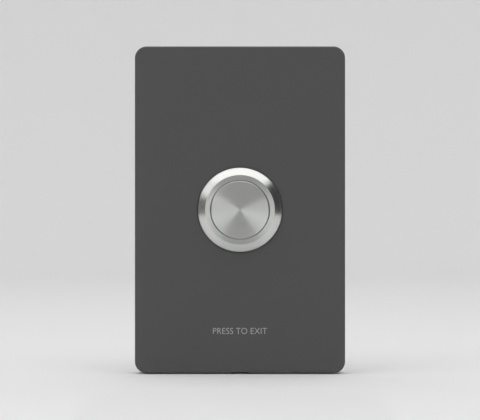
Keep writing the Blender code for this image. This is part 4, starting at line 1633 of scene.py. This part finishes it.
    def terminal(self, which: Terminal) -> Object:
        """Stamps and bends one terminal with its contact.

        Args:
            which: The terminal.

        Returns:
            The piece.
        """
        node = f"terminal_{which.value}"
        low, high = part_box(node)
        left, right = self.legs()[which]
        middle = self.middles()[which]
        half = (high.z - low.z) / 2
        tab_front = high.y - self.strip
        tab_left, tab_right = min(middle - self.half_tab, left), max(middle + self.half_tab, right)
        tab = panel(tab_right - tab_left, 2 * half, self.tab_corner, high.y, tab_front, 6)
        moved(tab, ((tab_left + tab_right) / 2, 0, 0))
        front = low.y + (self.open_rise if which is Terminal.OPEN else 0)
        up = half - self.inset
        leg = block((left, front, -up), (right, high.y - 10 * self.inset, up))
        steps = [(Join.ADD, leg)]
        arms = {
            Terminal.OPEN: (left, self.contact_at + self.contact_radius, low.y),
            Terminal.CLOSED: (
                self.contact_at - self.contact_radius,
                right,
                low.y + self.strip + self.contact_height,
            ),
        }
        if which in arms:
            inner, outer, tip = arms[which]
            up -= self.inset
            arm = block((inner, front, -up), (outer, front + self.strip, up))
            steps += [(Join.ADD, arm), (Join.ADD, self.contact(tip, front + self.strip / 2))]
        steps.append((Join.CUT, bar(self.terminal_bore, high.y + MM, tab_front - MM, middle)))
        return finished(f"stamped_{node}", combined(tab, steps), TERMINAL_BRASS, PLATE_BODY, node)

    def contact(self, tip: float, root: float) -> BMesh:
        """One domed contact point.

        Args:
            tip: The y of its tip.
            root: The y of its other end, inside the strip.

        Returns:
            The shape.
        """
        profile = [(0, tip), (self.contact_radius, tip), (self.contact_radius, root), (0, root)]
        return moved(spun(softened(profile, {1: self.contact_dome}, 5), 32), (self.contact_at, 0, 0))


@dataclass
class Plunger:
    """What the cap carries inside: the plunger and the blade that it moves.

    Attributes:
        spigot: Radius of the end that sits in the cap.
        spigot_length: Length of that end.
        shoulder: Radius of the shoulder under the cap's hub.
        shoulder_length: Its length.
        stem: Radius of the stem.
        stake: Radius of the stake through the blade.
        stake_head: Radius of the head that is formed on it.
        edge: Rounding of its ends.
        blade_sheet: Thickness of the blade.
        blade_corner: Radius of the blade's corners.
    """

    spigot: float = 1.9 * MM
    spigot_length: float = 2.2 * MM
    shoulder: float = 3.5 * MM
    shoulder_length: float = 1.0 * MM
    stem: float = 2.4 * MM
    stake: float = 1.1 * MM
    stake_head: float = 1.7 * MM
    edge: float = 0.3 * MM
    blade_sheet: float = 0.5 * MM
    blade_corner: float = 0.4 * MM

    def build(self) -> list[Object]:
        """Builds the plunger and the blade."""
        return [self.plunger(), self.blade()]

    def plunger(self) -> Object:
        """Moulds the plunger.

        Returns:
            The piece.
        """
        low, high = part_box("plunger")
        blade_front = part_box("moving_contact")[0].y
        stem_end, head_start = blade_front - SEAT, blade_front + self.blade_sheet + SEAT
        under = low.y + self.spigot_length
        shoulder_end = under + self.shoulder_length
        profile = [
            (0, low.y),
            (self.spigot, low.y),
            (self.spigot, under),
            (self.shoulder, under),
            (self.shoulder, shoulder_end),
            (self.stem, shoulder_end),
            (self.stem, stem_end),
            (self.stake, stem_end),
            (self.stake, head_start),
            (self.stake_head, head_start),
            (self.stake_head, high.y),
            (0, high.y),
        ]
        rounds = dict.fromkeys((1, 6, 10), self.edge) | dict.fromkeys((3, 4), self.edge / 2)
        shape = spun(softened(profile, rounds, 3), 64)
        return finished("moulded_plunger", shape, PLUNGER_ACETAL, BUTTON_BODY, "plunger", 35.0)

    def blade(self) -> Object:
        """Stamps the blade, whose bent end slides on the common leg.

        Returns:
            The piece.
        """
        low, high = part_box("moving_contact")
        front, sheet, corner = low.y, self.blade_sheet, self.blade_corner
        shape = panel(high.x - low.x, high.z - low.z, corner, front + sheet, front, 5)
        moved(shape, ((low.x + high.x) / 2, 0, 0))
        bent = block(
            (low.x, front + sheet / 2, low.z + corner), (low.x + sheet, high.y, high.z - corner)
        )
        hole = bar(self.stake + SEAT, front + sheet + MM, front - MM)
        shape = combined(shape, [(Join.ADD, bent), (Join.CUT, hole)])
        return finished("stamped_blade", shape, TERMINAL_BRASS, BUTTON_BODY, "moving_contact")


@dataclass
class ReturnSpring:
    """The coil spring that lifts the cap, with closed and ground ends.

    Attributes:
        wire: Thickness of the wire.
        active_turns: Turns that are free to move.
        closed_rise: Rise of each end turn.
        steps: Segments in a turn.
    """

    wire: float = 0.7 * MM
    active_turns: int = 3
    closed_rise: float = 0.85 * MM
    steps: int = 40

    def build(self) -> Object:
        """Winds the spring.

        Returns:
            The piece.
        """
        low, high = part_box("return_spring")
        half = self.wire / 2
        rise = (high.y - low.y - 2 * half - 2 * self.closed_rise) / self.active_turns
        shape = bmesh.new()
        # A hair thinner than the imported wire, so that the turned section stays inside its box.
        bmesh.ops.create_circle(shape, cap_ends=True, segments=12, radius=0.999 * half)
        moved(shape, ((high.x - low.x) / 2 - half, low.y + half, 0))
        last = shape.faces[:] + shape.edges[:] + shape.verts[:]
        for turns, climb in ((1, self.closed_rise), (self.active_turns, rise), (1, self.closed_rise)):
            last = bmesh.ops.spin(
                shape,
                geom=last,
                cent=ORIGIN,
                axis=AXIS,
                dvec=(0, climb / self.steps, 0),
                angle=math.tau * turns,
                steps=self.steps * turns,
                use_merge=False,
            )["geom_last"]
        piece = finished("wound_spring", shape, SPRING_WIRE, PLATE_BODY, "return_spring", 60.0)
        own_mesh(piece)
        return piece


# The studio


@dataclass(frozen=True)
class Softbox:
    """A lamp with an even face.

    Attributes:
        name: Its name.
        place: Its centre.
        aim: The point that it faces.
        size: Its width and height.
        radiance: How bright its face is, where 1 is a white sheet in even light.
    """

    name: str
    place: Place
    aim: Place
    size: tuple[float, float]
    radiance: float

    def build(self) -> None:
        """Hangs the lamp."""
        data = bpy.data.lights.new(self.name, "AREA")
        data.shape = "RECTANGLE"
        data.size, data.size_y = self.size
        data.energy = self.radiance * math.pi * self.size[0] * self.size[1]
        lamp = bpy.data.objects.new(self.name, data)
        lamp.location = self.place
        lamp.rotation_euler = (Vector(self.place) - Vector(self.aim)).to_track_quat("Z", "Y").to_euler()
        lamp.visible_camera = False
        bpy.context.scene.collection.objects.link(lamp)


@dataclass(frozen=True)
class Card:
    """A sheet of paper beside the camera that the steel mirrors, and nothing else sees.

    Attributes:
        name: Its name.
        tone: Its colour as sRGB hex.
        corners: Its corners, in order round it.
    """

    name: str
    tone: str
    corners: tuple[Place, ...]

    def build(self) -> None:
        """Stands the card up."""
        shape = bmesh.new()
        shape.faces.new([shape.verts.new(corner) for corner in self.corners])
        card = made(self.name, shape, Finish(f"{self.name}_paper", self.tone, 1.0))
        card.visible_camera = card.visible_diffuse = card.visible_shadow = False
        card.visible_transmission = card.visible_volume_scatter = False


@dataclass
class Studio:
    """Floor, lamps, cards and camera.

    Attributes:
        pixel: What one pixel of the photograph covers at the cover's face.
        image_width: Width of the image in pixels.
        plate_above: How far the plate's centre lies above the image's centre, in pixels.
        lens: Focal length in millimetres.
        sensor: Width of the sensor in millimetres.
        world: Radiance of the surroundings.
        drop: How far the floor lies below the cover, which hangs on its wall.
        floor_reach: Distance from the object to the wall that the floor sweeps up into.
        sweep: Radius of that sweep.
        softbox_turns: Where the softboxes hang in their arch, in degrees from the right.
        softbox_reach: Radius of the arch.
        softbox_front: The y of the arch, which stands in front of the plate.
        softbox_size: Width and height of each.
        softbox_radiance: How bright each is.
        card_across: Distance from the middle to the cards at the sides.
        card_depth: The y of a side card's near edge and of its far edge.
        strip: The floor card's left and right edges, and the y of its near and far edges.
        high_across: Half the width of the high card.
        high_top: Height of its upper edge.
        high_slopes: How its lower edges rise to the left and to the right, in degrees.
    """

    pixel: float = 0.3516 * MM
    image_width: float = 480.0
    plate_above: float = 0.2
    lens: float = 135.0
    sensor: float = 36.0
    world: float = 0.98
    drop: float = 0.3 * MM
    floor_reach: float = 1.4
    sweep: float = 0.5
    softbox_turns: tuple[float, ...] = (64.0, 101.0, 138.0)
    softbox_reach: float = 0.9
    softbox_front: float = -0.35
    softbox_size: tuple[float, float] = (0.80, 0.61)
    softbox_radiance: float = 0.58
    card_across: float = 0.45
    card_depth: tuple[float, float] = (-0.02, -0.5)
    strip: tuple[float, float, float, float] = (-0.046, 0.043, -0.075, -0.7)
    high_across: float = 0.55
    high_top: float = 0.5
    high_slopes: tuple[float, float] = (33.0, 27.0)

    def build(self) -> None:
        """Sets up everything around the object."""
        self.camera()
        self.surroundings()
        self.floor()
        self.hoop()
        for card in self.cards():
            card.build()

    def side_card(self, name: str, tone: str, side: int, top: float) -> Card:
        """A card that stands upright on the floor at one side.

        Args:
            name: Its name.
            tone: Its colour as sRGB hex.
            side: -1 for left, 1 for right.
            top: Height of its upper edge.

        Returns:
            The card.
        """
        low, across, (near, far) = CAD_BOX[0].z, side * self.card_across, self.card_depth
        corners = ((across, near, low), (across, far, low), (across, far, top), (across, near, top))
        return Card(name, tone, corners)

    def cards(self) -> list[Card]:
        """Grey cards round the camera, which draw the dark wedges on the steel.

        Returns:
            The cards.
        """
        low, far, across = CAD_BOX[0].z, self.card_depth[1], self.high_across
        left, right, start, end = self.strip
        rise_left, rise_right = [across * math.tan(math.radians(slope)) for slope in self.high_slopes]
        strip = ((left, start, low), (right, start, low), (right, end, low), (left, end, low))
        high = (
            (0.0, far, 0.0),
            (across, far, rise_right),
            (across, far, self.high_top),
            (-across, far, self.high_top),
            (-across, far, rise_left),
        )
        return [
            self.side_card("right_flag", "#202020", 1, 0.38),
            self.side_card("left_flag", "#7C7C7C", -1, 0.14),
            Card("floor_strip", "#787878", strip),
            Card("high_flag", "#6A6A6A", high),
        ]

    def hoop(self) -> None:
        """Hangs the softboxes in an arch over the button, which light the upper cone evenly."""
        front = self.softbox_front
        for i, turn in enumerate(self.softbox_turns):
            angle = math.radians(turn)
            place = (self.softbox_reach * math.cos(angle), front, self.softbox_reach * math.sin(angle))
            name, aim = f"overhead_softbox_{i}", (0.0, front, 0.0)
            Softbox(name, place, aim, self.softbox_size, self.softbox_radiance).build()

    def camera(self) -> None:
        """Puts the camera straight in front, far enough away to look almost level."""
        data = bpy.data.cameras.new("camera")
        data.lens = self.lens
        data.sensor_width = self.sensor
        camera = bpy.data.objects.new("camera", data)
        bpy.context.scene.collection.objects.link(camera)
        distance = self.image_width * self.pixel * self.lens / self.sensor
        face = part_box("cover_plate")[0].y
        camera.location = (0, face - distance, -self.plate_above * self.pixel)
        camera.rotation_euler = (math.pi / 2, 0, 0)
        bpy.context.scene.camera = camera

    def surroundings(self) -> None:
        """Fills the room with an even, neutral light."""
        world = bpy.data.worlds.new("studio")
        world.use_nodes = True
        background = world.node_tree.nodes["Background"]
        background.inputs["Color"].default_value = (self.world, self.world, self.world, 1)
        bpy.context.scene.world = world
        bpy.context.scene.view_settings.view_transform = "Standard"

    def floor(self) -> None:
        """Lays the pale floor, which sweeps up into a wall all round."""
        level, reach, sweep = CAD_BOX[0].z - self.drop, self.floor_reach, self.sweep
        points = [(0.0, 0.0, level)]
        for i in range(17):
            turn = math.pi / 2 * i / 16
            across = reach - sweep + sweep * math.sin(turn)
            points.append((across, 0.0, level + sweep - sweep * math.cos(turn)))
        points.append((reach, 0.0, level + reach))
        shape = bmesh.new()
        bmesh.ops.spin(
            shape,
            geom=line(shape, points),
            cent=ORIGIN,
            axis=(0, 0, 1),
            angle=math.tau,
            steps=64,
            use_merge=True,
        )
        bmesh.ops.remove_doubles(shape, verts=shape.verts, dist=0.01 * MM)
        floor = made("floor", shape, Finish("pale_paper", "#E9E9E9", 0.9))
        floor.data.shade_smooth()


def main() -> None:
    """Builds the sub-assemblies in order, then the studio."""
    logging.basicConfig(level=logging.INFO, format="%(message)s")
    CoverPlate().build()
    Legend().build()
    PushButton().build()
    MountingGrid().build()
    Clamp().build()
    ChangeoverSwitch().build()
    Plunger().build()
    ReturnSpring().build()
    for screw in SCREWS:
        screw.build()
    Studio().build()


if __name__ == "__main__":
    main()
